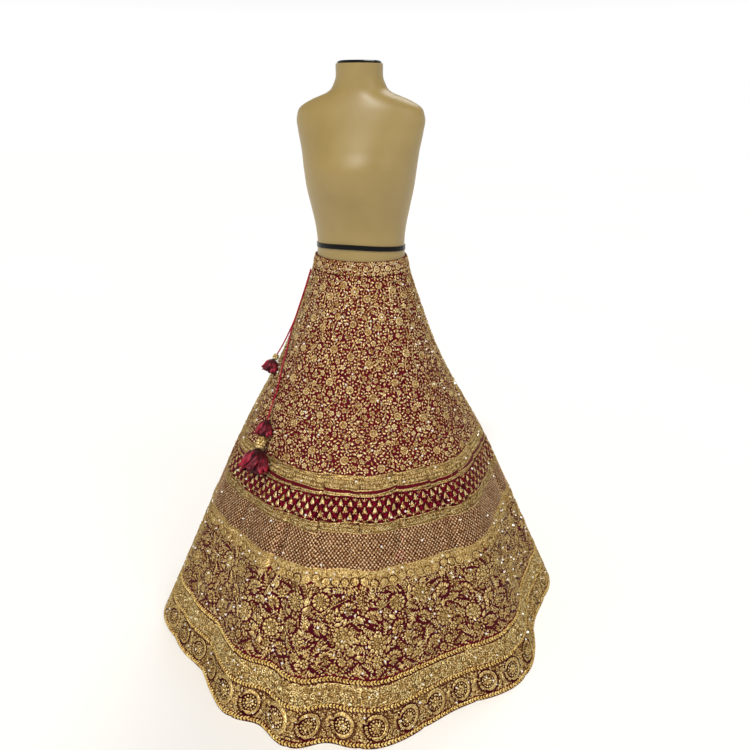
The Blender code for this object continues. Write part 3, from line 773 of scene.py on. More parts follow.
def sewn_tube(name, outer_heights, outer_lift, inner):
    """Outer rings going down and inner rings coming up, as one ring-shaped grid of dupion."""
    azimuth = np.arange(SKIRT_COLUMNS) * 360 / SKIRT_COLUMNS
    lift = np.full((len(outer_heights), SKIRT_COLUMNS), outer_lift)
    points = np.concatenate([lifted(azimuth[None], outer_heights[:, None], lift), inner(azimuth)])
    rows = len(points)
    faces = grid_triangles(rows, SKIRT_COLUMNS, True, True)
    # The flat map opens the tube at the last column and the last row, so that no yarn is smeared.
    down = distances(points[:, 0])
    down = np.append(down, down[-1] + CLOTH)
    girth = np.append(np.linalg.norm(points - np.roll(points, 1, 1), axis=2).sum(1), 0)
    girth[-1] = girth[0]
    flat = flat_pairs(np.linspace(-0.5, 0.5, SKIRT_COLUMNS + 1)[None] * girth[:, None], down[:, None])
    order = grid_triangles(rows + 1, SKIRT_COLUMNS + 1)
    return add_piece(name, points.reshape(-1, 3), faces, dupion, "embroidered_silk", flat[order.ravel()])


def lining_rings(azimuth):
    """The inner face, a cloth's thickness inside, from the hem up."""
    heights = np.linspace(0, UNDER_BAND, INNER_ROWS)[:, None]
    rings = lifted(azimuth[None], heights, np.full((INNER_ROWS, SKIRT_COLUMNS), -CLOTH))
    rings[..., 2] = np.maximum(rings[..., 2], 0)  # the lining stops level with the hem
    return rings


skirt_cloth = sewn_tube("skirt_silk", np.linspace(UNDER_BAND, 0, OUTER_ROWS), 0.0, lining_rings)
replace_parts(skirt_cloth, *[f"kali_{n:02d}" for n in range(1, KALIS + 1)])

# %% [markdown]
# ## Dress form
# The form is a moulded fibreglass torso, painted a warm beige and rubbed to a satin. Its sections
# are two half ellipses that meet at the sides, and a cubic joins them up the body. The solid has
# the same sections, and this surface only has more rings, so that it is smooth to look at.

# %% Dress form
# The form's sections: height, half width, depth in front, and depth behind.
TORSO = (
    (1.480, 0.0560, 0.0530, 0.0530),
    (1.440, 0.0610, 0.0550, 0.0560),
    (1.418, 0.0800, 0.0590, 0.0610),
    (1.405, 0.1150, 0.0630, 0.0670),
    (1.388, 0.1480, 0.0690, 0.0760),
    (1.365, 0.1600, 0.0770, 0.0860),
    (1.330, 0.1570, 0.0890, 0.0960),
    (1.290, 0.1490, 0.1040, 0.1020),
    (1.245, 0.1430, 0.1220, 0.1035),
    (1.200, 0.1370, 0.1230, 0.1010),
    (1.150, 0.1270, 0.1090, 0.0960),
    (1.100, 0.1180, 0.0960, 0.0910),
    (1.060, 0.1150, 0.0915, 0.0900),
    (1.030, 0.1172, 0.0925, 0.0925),
    (0.995, 0.1250, 0.0985, 0.0985),
    (0.930, 0.1470, 0.1020, 0.1100),
    (0.860, 0.1580, 0.1050, 0.1180),
    (0.800, 0.1500, 0.0980, 0.1120),
)
TORSO_SIDES, TORSO_ROWS = 96, 120
NECK_EDGE = 50  # degrees: edges sharper than this stay sharp


def torso_radius(azimuth, height):
    """Two half ellipses that meet at the sides, with a cubic between the table's heights."""
    turn = np.radians(azimuth)
    wide, front, back = smooth_columns(height, TORSO)
    deep = np.where(np.cos(turn) > 0, front, back)
    return 1 / np.sqrt((np.sin(turn) / wide) ** 2 + (np.cos(turn) / deep) ** 2)


def painted_shell():
    """Satin paint on fibreglass: a faint cloudiness in colour and gloss, with an orange-peel relief."""
    made, tree, shader = start_finish("painted_fibreglass_form", Coat_Weight=0.15, Coat_Roughness=0.3)
    at = add_node(tree, "TexCoord").outputs["Object"]
    cloud = add_node(tree, "TexNoise", {"Vector": at, "Scale": 14, "Detail": 3})
    peel = add_node(tree, "TexNoise", {"Vector": at, "Scale": 700})
    vary(tree, shader, cloud.outputs[0], "#88723e", "#9b854e", (0.38, 0.5))
    bump = add_node(tree, "Bump", {"Height": peel.outputs[0], "Strength": 0.15, "Distance": 0.0002})
    tree.links.new(bump.outputs[0], shader.inputs["Normal"])
    return made


around = np.arange(TORSO_SIDES) * 360 / TORSO_SIDES
levels = np.linspace(TORSO[0][0], TORSO[-1][0], TORSO_ROWS)[:, None]
shell = closed_tube(place(around, torso_radius(around[None], levels), levels))
form = add_piece("form_shell", *shell, painted_shell(), "form_shell")
form.data.set_sharp_from_angle(angle=math.radians(NECK_EDGE))
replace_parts(form, "form_torso")


# %% [markdown]
# ## Lacquer and steel
# The neck's cap and the band round the form's waist are black lacquer, which is nearly a mirror.
# The pole and base are brushed steel. Their solids have the right shape, so they only need finishes.


# %% Lacquer and steel
def lacquer():
    """Black lacquer: almost black, glossy, with a slow ripple that bends its reflections."""
    made, tree, shader = start_finish("black_gloss_lacquer", Specular_IOR_Level=0.12)
    at = add_node(tree, "TexCoord").outputs["Object"]
    ripple = add_node(tree, "TexNoise", {"Vector": at, "Scale": 60})
    vary(tree, shader, ripple.outputs[0], "#040505", "#0c0e0e", (0.10, 0.22))
    return made


def brushed_steel():
    """Brushed steel: fine grain round the pole, from noise that is stretched along the ground."""
    made, tree, shader = start_finish("brushed_steel", Metallic=1.0)
    at = add_node(tree, "TexCoord").outputs["Object"]
    stretched = add_node(tree, "Mapping", {"Vector": at, "Scale": (20, 20, 1400)})
    grain = add_node(tree, "TexNoise", {"Vector": stretched.outputs[0], "Scale": 1.0, "Detail": 2})
    vary(tree, shader, grain.outputs[0], "#7c7e80", "#b4b6b8", (0.25, 0.42))
    return made


gloss, steel = lacquer(), brushed_steel()
plain = {"form_neck_cap": gloss, "form_waist_band": gloss, "stand_pole": steel, "stand_base": steel}
for node, made in plain.items():
    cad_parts[node].data.materials.clear()
    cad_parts[node].data.materials.append(made)
print("lacquer and steel on the form's own solids")

# %% [markdown]
# ## Waistband
# The waistband is a straight strip of the same silk, doubled and stiffened. Its outer face carries
# on from the gores and its inner face lies just off the form. Its top is a plain fold.

# %% Waistband
BAND_ROWS, BAND_PROUD, BAND_OFF_FORM = 8, 0.0003, 0.0006  # rows, metres, metres


def band_inside(azimuth):
    """The waistband's inner face, just off the form, from its lower edge up."""
    heights = np.linspace(PANEL_TOP, WAIST_TOP, 3)[:, None]
    return place(azimuth[None], torso_radius(azimuth[None], heights) + BAND_OFF_FORM, heights)


waistband = sewn_tube("waistband_silk", np.linspace(WAIST_TOP, PANEL_TOP, BAND_ROWS), BAND_PROUD, band_inside)
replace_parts(waistband, "waistband")

# %% [markdown]
# ## Small shapes for the embroidery
# A stitched motif could be a flat pattern on the cloth, but real zardozi stands up and glints, so
# each one is a small raised shape. There are thousands of them, so each has only a few faces. A shape
# is drawn once in its own flat frame: across, along towards the waist, and up off the cloth, each
# from 0 to 1 or from -1/2 to 1/2, and it is stretched to its size where it is sewn.

# %% Shapes: petals
def drawn(points, faces):
    """A shape from its points (across, along, up) and its triangles."""
    return np.array(points, float), np.array(faces)


# A long pointed petal with a ridge down it: two tips, two sides and a crest at two places.
PETAL = drawn(
    [(0, 0.5, 0), (-0.4, 0.2, 0), (0, 0.2, 1), (0.4, 0.2, 0), (-0.5, -0.12, 0), (0, -0.12, 0.95),
     (0.5, -0.12, 0), (0, -0.5, 0)],
    [(0, 1, 2), (0, 2, 3), (1, 4, 5), (1, 5, 2), (2, 5, 6), (2, 6, 3), (4, 7, 5), (5, 7, 6)],
)
# The plainest petal, for the smallest ones: two tips, two sides and one crest.
STITCH = drawn(
    [(0, 0.5, 0), (-0.5, -0.08, 0), (0, -0.08, 1), (0.5, -0.08, 0), (0, -0.5, 0)],
    [(0, 1, 2), (0, 2, 3), (1, 4, 2), (2, 4, 3)],
)
# A petal with a broad round end, narrow at its foot: an outline round one crest.
ROUND_PETAL = drawn(
    [(0, 0.5, 0), (-0.36, 0.4, 0), (-0.5, 0.08, 0), (-0.26, -0.32, 0), (0, -0.5, 0), (0.26, -0.32, 0),
     (0.5, 0.08, 0), (0.36, 0.4, 0), (0, 0.1, 1)],
    [(k, (k + 1) % 8, 8) for k in range(8)],
)


# %% Shapes: turned ones
def turned(profile, sides):
    """Rings of (radius, up) from the outside in, closed by a fan if the last radius is 0."""
    angle = np.arange(sides) * math.tau / sides
    ends_in_point = profile[-1][0] == 0
    rings = np.array(profile[:-1] if ends_in_point else profile, float)
    radius, up = rings[:, :1], rings[:, 1:]
    points = np.stack(np.broadcast_arrays(radius * np.cos(angle), radius * np.sin(angle), up), -1)
    points = points.reshape(-1, 3)
    faces = grid_triangles(len(rings), sides, True)[:, ::-1]
    if ends_in_point:
        start = (len(rings) - 1) * sides
        here, there = start + np.arange(sides), start + (np.arange(sides) + 1) % sides
        faces = np.concatenate([faces, np.stack([here, there, np.full(sides, len(points))], 1)])
        points = np.concatenate([points, [(0, 0, profile[-1][1])]])
    return points, faces


BEAD = turned(((1, 0), (0, 1)), 6)
DOME = turned(((1, 0), (0.72, 0.72), (0, 1)), 8)
STONE = turned(((1, 0), (0.62, 1), (0, 1.05)), 8)
HOOP = turned(((1, 0), (0.84, 1), (0.68, 0)), 14)
SMALL_HOOP = turned(((1, 0), (0.8, 1), (0.6, 0)), 8)
COIN = turned(((1, 0), (0.86, 1), (0.70, 0.5), (0.42, 0.9), (0, 1)), 12)
# The next two discs lie under raised motifs as painted shade round their feet.
SHADE_DISC = turned(((1, 0.2), (0.9, 1), (0, 1)), 10)
MEDALLION_SHADE_DISC = turned(((1, 0.2), (0.95, 1), (0.5, 1), (0, 1)), 20)
print("faces: bead", len(BEAD[1]), "dome", len(DOME[1]), "hoop", len(HOOP[1]), "petal", len(PETAL[1]))


# %% Shapes: laid and put together
def set_at(shape, across, along, turn, width, length, height):
    """One copy of a shape: stretched, turned, and then moved."""
    points, faces = shape
    a, b, c = (points * (width, length, height)).T
    sine, cosine = math.sin(turn), math.cos(turn)
    return np.stack([across + a * cosine - b * sine, along + a * sine + b * cosine, c], 1), faces


def resized(shape, width, length, height):
    """A shape stretched where it stands."""
    return shape[0] * (width, length, height), shape[1]


def fanned(shape, turns, radius, width, length, height):
    """Copies of a shape about a middle, one for each turn, each pointing away from it."""
    return joined([set_at(shape, -radius * math.sin(t), radius * math.cos(t), t, width, length, height)
                   for t in turns])


def round_about(shape, count, radius, width, length, height, phase=0.0):
    """Copies of a shape laid evenly round a circle."""
    return fanned(shape, (np.arange(count) + phase) * math.tau / count, radius, width, length, height)


def couched(path, half_width, taper=0.0):
    """A cord laid along a flat path: a crest between two feet, narrowed over a share of its two ends."""
    path = np.asarray(path, float)
    way = unit(np.gradient(path, axis=0))
    share = np.linspace(0, 1, len(path))
    wide = half_width * np.ones(len(path))
    if taper:
        wide = wide * np.clip(np.minimum(share, 1 - share) / taper, 0.15, 1)
    beside = np.stack([way[:, 1], -way[:, 0]], 1) * wide[:, None]
    rows = np.stack([path + beside, path, path - beside], 1)
    up = np.broadcast_to([0.0, 1.0, 0.0], rows.shape[:2])[..., None]
    return np.concatenate([rows, up], -1).reshape(-1, 3), grid_triangles(len(path), 3)


def curl(steps, hook, half_width):
    """A cord coiled one and a half times, from radius 1 to a small eye, with a tail as long as hook."""
    angle = np.linspace(0, 1.5 * math.tau, steps)
    radius = 1 - 0.88 * np.linspace(0, 1, steps) ** 0.9
    path = np.stack([radius * np.cos(angle), radius * np.sin(angle)], 1)
    return couched(np.concatenate([[[1 + hook * 0.3, -hook]], path]), half_width, 0.12)


# %% Shapes: flowers and leaves
def flower(petals, heart):
    """Round petals about a domed heart, with a radius of 1."""
    ring = round_about(ROUND_PETAL, petals, 0.64, 2.2 * math.pi * 0.62 / petals, 0.74, 1.0)
    return joined([ring, resized(DOME, heart, heart, 1.2)])


def double_flower():
    """Two rings of eleven petals, the inner one raised and turned half a petal, with a hoop and a dome."""
    outer = round_about(ROUND_PETAL, 11, 0.76, 5.2 / 11, 0.50, 0.8)
    inner = round_about(PETAL, 11, 0.43, 2.2 / 11, 0.32, 1.1, 0.5)
    return joined([outer, inner, resized(HOOP, 0.29, 0.29, 1.0), resized(DOME, 0.17, 0.17, 1.3)])


def palmette():
    """A half-open flower: a fan of petals over a cup, short petals inside it, and a sepal to each side."""
    points, faces = joined([
        fanned(ROUND_PETAL, np.linspace(-1.30, 1.30, 7), 1.12, 0.56, 0.90, 1.0),
        fanned(PETAL, np.linspace(-1.10, 1.10, 6), 0.50, 0.22, 0.42, 1.2),
        fanned(PETAL, (-2.05, 2.05), 0.56, 0.30, 0.80, 0.9),
        fanned(STITCH, (2.62, math.pi, 3.66), 0.50, 0.20, 0.60, 0.8),
        resized(DOME, 0.26, 0.32, 1.2),
    ])
    return points * (0.72, 0.72, 1) - (0, 0.32, 0), faces


def fern():
    """A toothed leaf: a bent spine with five pairs of leaflets and one at its tip, with a length of 1."""
    share = np.linspace(0, 1, 6)
    spine = np.stack([0.14 * np.sin(math.pi * share), share - 0.5], 1)
    parts = [couched(spine, 0.04), set_at(STITCH, 0, 0.52, 0.5, 0.13, 0.24, 0.9)]
    for (across, along), size in zip(spine[:-1], (0.24, 0.34, 0.36, 0.32, 0.26)):
        for side in (-1, 1):
            beside = across + side * 0.40 * size
            parts.append(set_at(STITCH, beside, along + 0.34 * size, -side * 0.9, 0.15, size, 0.9))
    return joined(parts)


def rosette():
    """A rim hoop, a ring of short petals inside it, and a dome."""
    petals = round_about(PETAL, 8, 0.50, 0.36, 0.42, 0.9)
    return joined([resized(HOOP, 1.0, 1.0, 1.0), petals, resized(DOME, 0.28, 0.28, 1.2)])


# %% [markdown]
# ## Sewing the shapes on
# A layout is worked on every gore, as it is on a real skirt, with a hand's small errors in place,
# turn and size. All copies of a shape are stretched, turned and bent on to the skirt at once, as
# arrays, and joined in one mesh. The feet of each shape sink a little into the cloth. Instances
# scattered by geometry nodes would be lighter, but they could not bend with the folds.

# %% Sewing on
SUNK = 0.00025  # metres that a motif's feet sink into what it is sewn on
HAND_PLACE, HAND_TURN, HAND_SIZE = 0.0004, 0.06, 0.06  # metres, radians, share
RIM = 0.35  # how much brighter a motif is at its feet, where a brighter thread outlines it
WIDE_MOTIF, WIDE_SPREAD = 0.02, 0.3  # metres, share: motifs wider than this differ less in tone
ALL_GORES = slice(None)
worked = []  # every embroidered piece


def embroider(name, groups, finish, seed, on=0.0, slot="embroidered_silk", mirrored=False, smooth=True):
    """Sews groups of a shape, its rows (across, down, turn, width, length, height) and the gores with them.

    A point of a copy lies at its place, plus its own across and along turned by turn, bent on to the
    skirt and raised by its up. The feet stand "on" metres off the cloth. Alternate gores may be
    mirrored. The tone is the motif's own.
    """
    rng = np.random.default_rng(seed)
    points, faces, flats, tones, start = [], [], [], [], 0
    for (shape_points, shape_faces), rows, chosen in groups:
        gores = np.arange(KALIS)[chosen]
        kali = np.repeat(gores, len(rows))
        across, down, turn, width, length, height = np.tile(np.asarray(rows, float), (len(gores), 1)).T
        flip = np.where((kali % 2 == 1) & mirrored, -1, 1)
        across = across * flip + rng.normal(0, HAND_PLACE, len(kali))
        down = down + rng.normal(0, HAND_PLACE, len(kali))
        turn = turn * flip + rng.normal(0, HAND_TURN, len(kali))
        size = 1 + rng.normal(0, HAND_SIZE, len(kali))
        a = shape_points[:, 0] * (width * size)[:, None]
        b = shape_points[:, 1] * (length * size)[:, None]
        c = shape_points[:, 2] * height[:, None] - SUNK + on
        sine, cosine = np.sin(turn)[:, None], np.cos(turn)[:, None]
        across, down = across[:, None] + a * cosine - b * sine, down[:, None] - a * sine - b * cosine
        points.append(on_skirt(kali[:, None], across, down, c).reshape(-1, 3))
        count = len(shape_points)
        faces.append((shape_faces[None] + start + count * np.arange(len(kali))[:, None, None]).reshape(-1, 3))
        start += count * len(kali)
        flats.append(flat_pairs(a, b))
        spread = np.where(width * np.ptp(shape_points[:, 0]) > WIDE_MOTIF, WIDE_SPREAD, 1.0)
        own = (1 - RIM) * (0.5 + spread * rng.uniform(-0.5, 0.5, len(kali)))
        tones.append((own[:, None] + RIM * (1 - np.clip(shape_points[:, 2], 0, 1))).ravel())
    points, faces, flats, tones = (np.concatenate(arrays) for arrays in (points, faces, flats, tones))
    worked.append(add_piece(name, points, faces, finish, slot, flats, tones, smooth))
    return worked[-1]


def motifs(shape, places, width, length, height, turn=None, gores=ALL_GORES):
    """A group for embroider(): a shape's places, as across, down and turn, with its size in metres."""
    places = np.asarray(places, float)
    turn = places[:, 2] if turn is None else turn
    rows = np.stack(np.broadcast_arrays(places[:, 0], places[:, 1], turn, width, length, height), 1)
    return shape, rows, gores


def away_from(places, middles, swing):
    """The turn that points each motif away from its nearest middle, swung to one side or the other."""
    dx = places[:, None, 0] - middles[None, :, 0]
    up = middles[None, :, 1] - places[:, None, 1]
    nearest = np.argmin(np.hypot(dx, up), axis=1)
    row = np.arange(len(places))
    return np.arctan2(-dx[row, nearest], up[row, nearest]) + swing * np.where(places[:, 0] >= 0, 1, -1)


# %% [markdown]
# ## Finding room
# A worker fills a gore with the large motifs first and then with whatever fits between. So motifs
# are thrown at the gore and kept only where there is room. Rejected throws cost little, and the
# result is even without being regular.

# %% Finding room
SWING = (0.4, 1.2)  # radians that a leaf is swung from pointing straight away from its flower
SEAM_SHARE = 0.55  # how much of its reach a motif keeps from the gore's edge


def scatter(taken, reach, top, bottom, throws, rng, away=None, paired=False):
    """Throws motifs at a gore and keeps those with room. Rows of taken are across, down and reach.

    With away (hearts, ends, swing), each one points away from its nearest heart, and keeps clear at
    its middle and as far along from it as ends says. A paired one has its mirror image too. Returns
    all that is taken, and the new ones' across, down and turn.
    """
    hearts, ends, swing = away or (None, 0.0, None)
    down = rng.uniform(top, bottom, throws)
    across = rng.uniform(0 if paired else -1, 1, throws) * (gore_width(down) / 2 - reach * SEAM_SHARE)
    turn = rng.uniform(0, math.tau, throws)
    if away:
        turn = away_from(np.stack([across, down], 1), hearts, rng.uniform(*swing, throws))
    steps = np.array([-ends, 0.0, ends]) if ends else np.zeros(1)
    xs = across[:, None] - np.sin(turn)[:, None] * steps
    ys = down[:, None] - np.cos(turn)[:, None] * steps
    room = np.zeros((len(taken) + 2 * throws * len(steps), 3))
    room[: len(taken)] = taken
    count, kept = len(taken), []
    for x, s, a, x_all, s_all in zip(across, down, turn, xs, ys):
        if paired and x < reach * 0.9:
            x, x_all = 0.0, x_all - x
        gap = np.hypot(room[:count, :1] - x_all, room[:count, 1:2] - s_all) - room[:count, 2:3]
        if gap.min() > reach:
            for side in (1, -1) if paired and x > 0 else (1,):
                kept.append((side * x, s, side * a))
                room[count : count + len(steps)] = np.stack([side * x_all, s_all, reach + 0 * s_all], 1)
                count += len(steps)
    return room[:count], np.array(kept).reshape(-1, 3)


def fill_in(band, kinds, taken, hearts, rng, gores=ALL_GORES, paired=False):
    """Throws one kind of motif after another into the room that is left, and makes a group of each.

    Each kind is a shape, its width, length and height, its reach, how far it keeps from the band's
    top and foot, how many are thrown, and how it lies: None at any turn, "heart" at any turn and as
    a heart for the next ones, or (ends, swing) for scatter() if it points away from a heart.
    """
    top, bottom = slopes[band]
    groups = []
    for shape, size, reach, above, below, throws, lies in kinds:
        away = (hearts, *lies) if isinstance(lies, tuple) else None
        taken, places = scatter(taken, reach, top + above, bottom - below, throws, rng, away, paired)
        if lies == "heart":
            hearts = np.concatenate([hearts, places[:, :2]])
        groups.append(motifs(shape, places, *size, gores=gores))
    print(band, "on each gore:", [len(group[1]) for group in groups])
    return groups


# %% [markdown]
# ## Rows, cords and fillings
# The narrow bands are regular, so their motifs stand in rows at an even pitch, between level cords.
# A solid band has a strip of close filling under it, which hides the silk; its dark colour is
# painted shade between the packed stitches.

# %% Rows, cords and fillings
FILLING_LIFT, SHADE_STRIP_LIFT, CORE_AND_SHADOW_LIFT = 0.0006, 0.0002, 0.0005  # metres off the cloth
STRIP_SHARE, STRIP_SUNK, STRIP_SIDE = 0.998, 0.0003, 0.4  # of the gore's width, metres, share of the lift
ON_FILLING, ON_LINE = 0.0005, 0.0004  # metres off the cloth, for what is sewn on a filling or on a narrow one
FROM_SEAM = 0.0008  # metres


def cord_on(path, half_width, down, height, gores=ALL_GORES):
    """A group for embroider(): one cord along a flat path that starts at a distance down the gore."""
    return couched(path, half_width), [(0, down, 0, 1, 1, height)], gores


def level_cord(down, half_width, height):
    """One cord straight across a gore, nearly from seam to seam."""
    half = float(gore_width(down)) / 2 - FROM_SEAM / 2
    return cord_on(np.stack([np.linspace(-half, half, 11), np.zeros(11)], 1), half_width, down, height)


def edge_cords(top, bottom, inset, half_width, height):
    """A level cord just inside each edge of a band."""
    return [level_cord(down, half_width, height) for down in (top + inset, bottom - inset)]


def across_row(shape, down, pitch, turn, width, length, height, offset=0.0, edge=FROM_SEAM):
    """A row of motifs side by side across a gore, at an even pitch that fits its width."""
    wide = float(gore_width(down)) - 2 * edge
    count = max(1, round(wide / pitch))
    across = -wide / 2 + (np.arange(count) + 0.5 + offset) * wide / count
    across = across[np.abs(across) < wide / 2]
    return motifs(shape, np.stack([across, np.full(len(across), down)], 1), width, length, height, turn)


def sag(share, dip):
    """How far a scalloped edge rises across a gore: dip (2 share)^4, with share from -1/2 to 1/2."""
    return dip * np.abs(2 * share) ** 4


def laid_strip(name, top, bottom, rows, finish, slot="embroidered_silk", lift=FILLING_LIFT, dip=0.0):
    """A strip of filling on each gore, its edges sunk into the cloth. Its lower edge may be scalloped."""
    u = np.linspace(-0.5, 0.5, COLUMNS_PER_KALI + 1)
    v = np.concatenate([[0], np.linspace(0.03, 0.97, rows - 1), [1]])[:, None]
    down = top + ((bottom - sag(u, dip))[None] - top) * v
    across = u[None] * gore_width(down) * STRIP_SHARE
    height = np.broadcast_to(np.where((v > 0) & (v < 1), lift, -STRIP_SUNK), down.shape).copy()
    height[:, [0, -1]] = np.minimum(height[:, [0, -1]], lift * STRIP_SIDE)
    kali = np.arange(KALIS)[:, None, None]
    points = on_skirt(kali, across[None], down[None], height[None]).reshape(-1, 3)
    faces = (grid_triangles(rows + 1, COLUMNS_PER_KALI + 1)[None] + down.size * kali).reshape(-1, 3)
    flat = np.tile(flat_pairs(across, down), (KALIS, 1))
    worked.append(add_piece(name, points, faces, finish, slot, flat, np.full(len(flat), 0.5)))


print("needle ready")

# %% [markdown]
# ## Where each band lies
# From the waist down: small flowers; a ribbed gold band; a thin crimson line and a thin gold one;
# a trellis of teardrops; a narrow gold band; a fine net; a scalloped gold band; large flowers; and
# two gold bands between couched ropes. Heights are in metres, and become slopes on the cloth.

# %% Bands
# The height of each band's top and of its foot.
BANDS = {
    "waist": (1.0295, 0.9965),
    "small_flowers": (0.993, 0.5545),
    "ribbed": (0.5525, 0.5221),
    "thin_gold": (0.5148, 0.5085),
    "trellis": (0.508, 0.4520),
    "narrow_gold": (0.4520, 0.4300),
    "net": (0.4300, 0.3540),
    "scalloped": (0.3545, 0.317),
    "large_flowers": (0.321, 0.1365),
    "curled": (0.1200, 0.0806),
    "medallions": (0.0680, 0.0125),
}
slopes = {name: tuple(float(slope_at(height)) for height in pair) for name, pair in BANDS.items()}
print({name: round(bottom - top, 3) for name, (top, bottom) in slopes.items()})

# %% [markdown]
# ## Small flowers
# The skirt's body is a dense ground of small sprigs. A round rosette with a ring of petals stands
# near the middle of each gore every 7.5 cm. Small flowers, leaves and knots fill the rest, and two
# stems wind down between them. Three layouts take turns round the skirt, each with its rosettes at
# other heights, so that no rows show.

# %% Small flowers
ROSETTE_STARTS = (0.960, 0.943, 0.974)  # metres: the top rosette's height on every third gore, from the first
ROSETTE_STEP, ROSETTES, ROSETTE_SWAY, ROSETTE_REACH = 0.0755, 6, 0.12, 0.0118
RING_PETALS, RING_RADIUS, RING_REACH, RING_FROM_SEAM = 11, 0.0158, 0.0030, 0.0015
# Width, length and height in metres.
ROSETTE_SIZE, RING_PETAL_SIZE = (0.0104, 0.0104, 0.0022), (0.0046, 0.0080, 0.0020)
# What fills in: shape, size, reach, room kept at the band's top and foot, throws, and how it lies.
SPRIGS = (
    (flower(5, 0.3), (0.0070, 0.0070, 0.0026), 0.0082, 0.006, 0.006, 130, "heart"),
    (STITCH, (0.0058, 0.0116, 0.0025), 0.0036, 0.002, 0.002, 7000, (0.0016, SWING)),
    (BEAD, (0.0024, 0.0024, 0.0022), 0.0023, 0, 0, 5000, None),
)
STEM_HEIGHT = 0.0012  # metres
STEM = (0.30, 0.155, 0.0007)  # swing as a share of the gore's width, then wave and half width in metres


def winding_stem(top, bottom, swing, wave, half_width, phase=0.0):
    """A stem that winds down a gore: across follows a sine of the distance down, wider where the gore is."""
    down = np.linspace(top, bottom, int((bottom - top) / wave * 14))
    across = swing * gore_width(down) * np.sin((down - top) / wave * math.tau + phase)
    return cord_on(np.stack([across, top - down], 1), half_width, top, STEM_HEIGHT)


def small_flower_layout(first, seed, gores):
    """One gore's layout: rosettes in rings of petals from the first height down, then what has room."""
    rng = np.random.default_rng(seed)
    down = slope_at(first - ROSETTE_STEP * np.arange(ROSETTES))
    sway = rng.uniform(-ROSETTE_SWAY, ROSETTE_SWAY, ROSETTES)
    middles = np.column_stack([sway * gore_width(down), down, np.zeros(ROSETTES)])
    angle = np.tile(np.arange(RING_PETALS) * math.tau / RING_PETALS, (ROSETTES, 1))
    ring = (middles[:, :1] + RING_RADIUS * np.sin(angle), down[:, None] - RING_RADIUS * np.cos(angle), -angle)
    ring = np.stack(ring, -1).reshape(-1, 3)
    ring = ring[np.abs(ring[:, 0]) < gore_width(ring[:, 1]) / 2 - RING_FROM_SEAM]
    taken = np.concatenate([np.column_stack([places[:, :2], np.full(len(places), reach)])
                            for places, reach in ((middles, ROSETTE_REACH), (ring, RING_REACH))])
    return [
        motifs(rosette(), middles, *ROSETTE_SIZE, gores=gores),
        motifs(STITCH, ring, *RING_PETAL_SIZE, gores=gores),
    ] + fill_in("small_flowers", SPRIGS, taken, middles[:, :2], rng, gores)


# Two winding stems on every gore, and three layouts of sprigs in turn round the skirt.
top, bottom = slopes["small_flowers"]
groups = [winding_stem(top + 0.02, bottom - 0.01, *STEM, phase) for phase in (0.0, math.pi)]
for number, first in enumerate(ROSETTE_STARTS):
    groups += small_flower_layout(first, 210 + number, slice(number, None, len(ROSETTE_STARTS)))
embroider("small_flowers", groups, zari_gold, 31)

# %% [markdown]
# ## Waistband flowers
# The waistband carries the same sprigs, packed closer, round one rosette to each gore's width. Each
# half of the layout mirrors the other.

# %% Waistband flowers
WAIST_ROSETTE, WAIST_REACH = (0.0080, 0.0080, 0.0018), 0.0085
WAIST_SPRIGS = (
    (flower(5, 0.3), (0.0056, 0.0056, 0.0017), 0.0056, 0.004, 0.004, 200, "heart"),
    (STITCH, (0.0050, 0.0092, 0.0019), 0.0027, 0.001, 0.001, 1500, (0.0012, SWING)),
    (BEAD, (0.0018, 0.0018, 0.0014), 0.0017, 0, 0, 1500, None),
)

# A rosette in the middle of each gore's part of the waistband, and sprigs in pairs beside it.
rng = np.random.default_rng(22)
middle = np.array([[0, sum(slopes["waist"]) / 2, 0]])
sprigs = fill_in("waist", WAIST_SPRIGS, middle + (0, 0, WAIST_REACH), middle[:, :2], rng, paired=True)
groups = [motifs(rosette(), middle, *WAIST_ROSETTE)] + sprigs
embroider("waist_flowers", groups, zari_gold, 32, on=BAND_PROUD, mirrored=True)

# %% [markdown]
# ## Ribbed gold band
# The first band is filled solid. Its upper part is couched cord laid in level ribs. Its lower part
# is upright satin stitches in two rows. A filling strip lies under both, so no silk shows between.

# %% Ribbed band
RIB_PITCH, RIBS, RIB = 0.0029, 4, (0.0014, 0.0013)  # metres, and a rib's half width and height

# Level cords at an even pitch, two rows of upright petals, and a cord under them.
laid_strip("ribbed_band_filling", *slopes["ribbed"], 4, zari_shade_filling)
top, bottom = slopes["ribbed"]
ribs = [level_cord(top + (k + 0.5) * RIB_PITCH, *RIB) for k in range(RIBS)]
ribs.append(level_cord(bottom - 0.4 * RIB_PITCH, *RIB))
start = top + RIBS * RIB_PITCH
tall = (bottom - start - RIB_PITCH) / 2
rows = [across_row(PETAL, start + (k + 0.5) * tall, 0.0040, 0, 0.0036, tall * 1.1, 0.0018, 0.5 * k)
        for k in (0, 1)]
embroider("ribbed_band", ribs + rows, zari_shaded_copy, 33, on=ON_FILLING)

# %% [markdown]
# ## Thin lines
# Below it a crimson line is left bare, then comes a thin gold line: a strip of filling, a cord on
# each edge and a row of slanted stitches.

# %% Thin gold line
THIN_PITCH, THIN_SLANT, THIN_HEIGHT = 0.0045, 0.5, 0.0011  # metres, radians, metres

# A cord along each edge of the line, and slanted petals between.
laid_strip("thin_line_filling", *slopes["thin_gold"], 3, zari_shade_filling)
top, bottom = slopes["thin_gold"]
size = (THIN_PITCH * 0.9, (bottom - top) * 0.86, THIN_HEIGHT)
groups = edge_cords(top, bottom, 0.0012, 0.0012, THIN_HEIGHT)
groups.append(across_row(PETAL, (top + bottom) / 2, THIN_PITCH, THIN_SLANT, *size))
embroider("thin_line_stitches", groups, zari_gold, 34, on=ON_LINE)

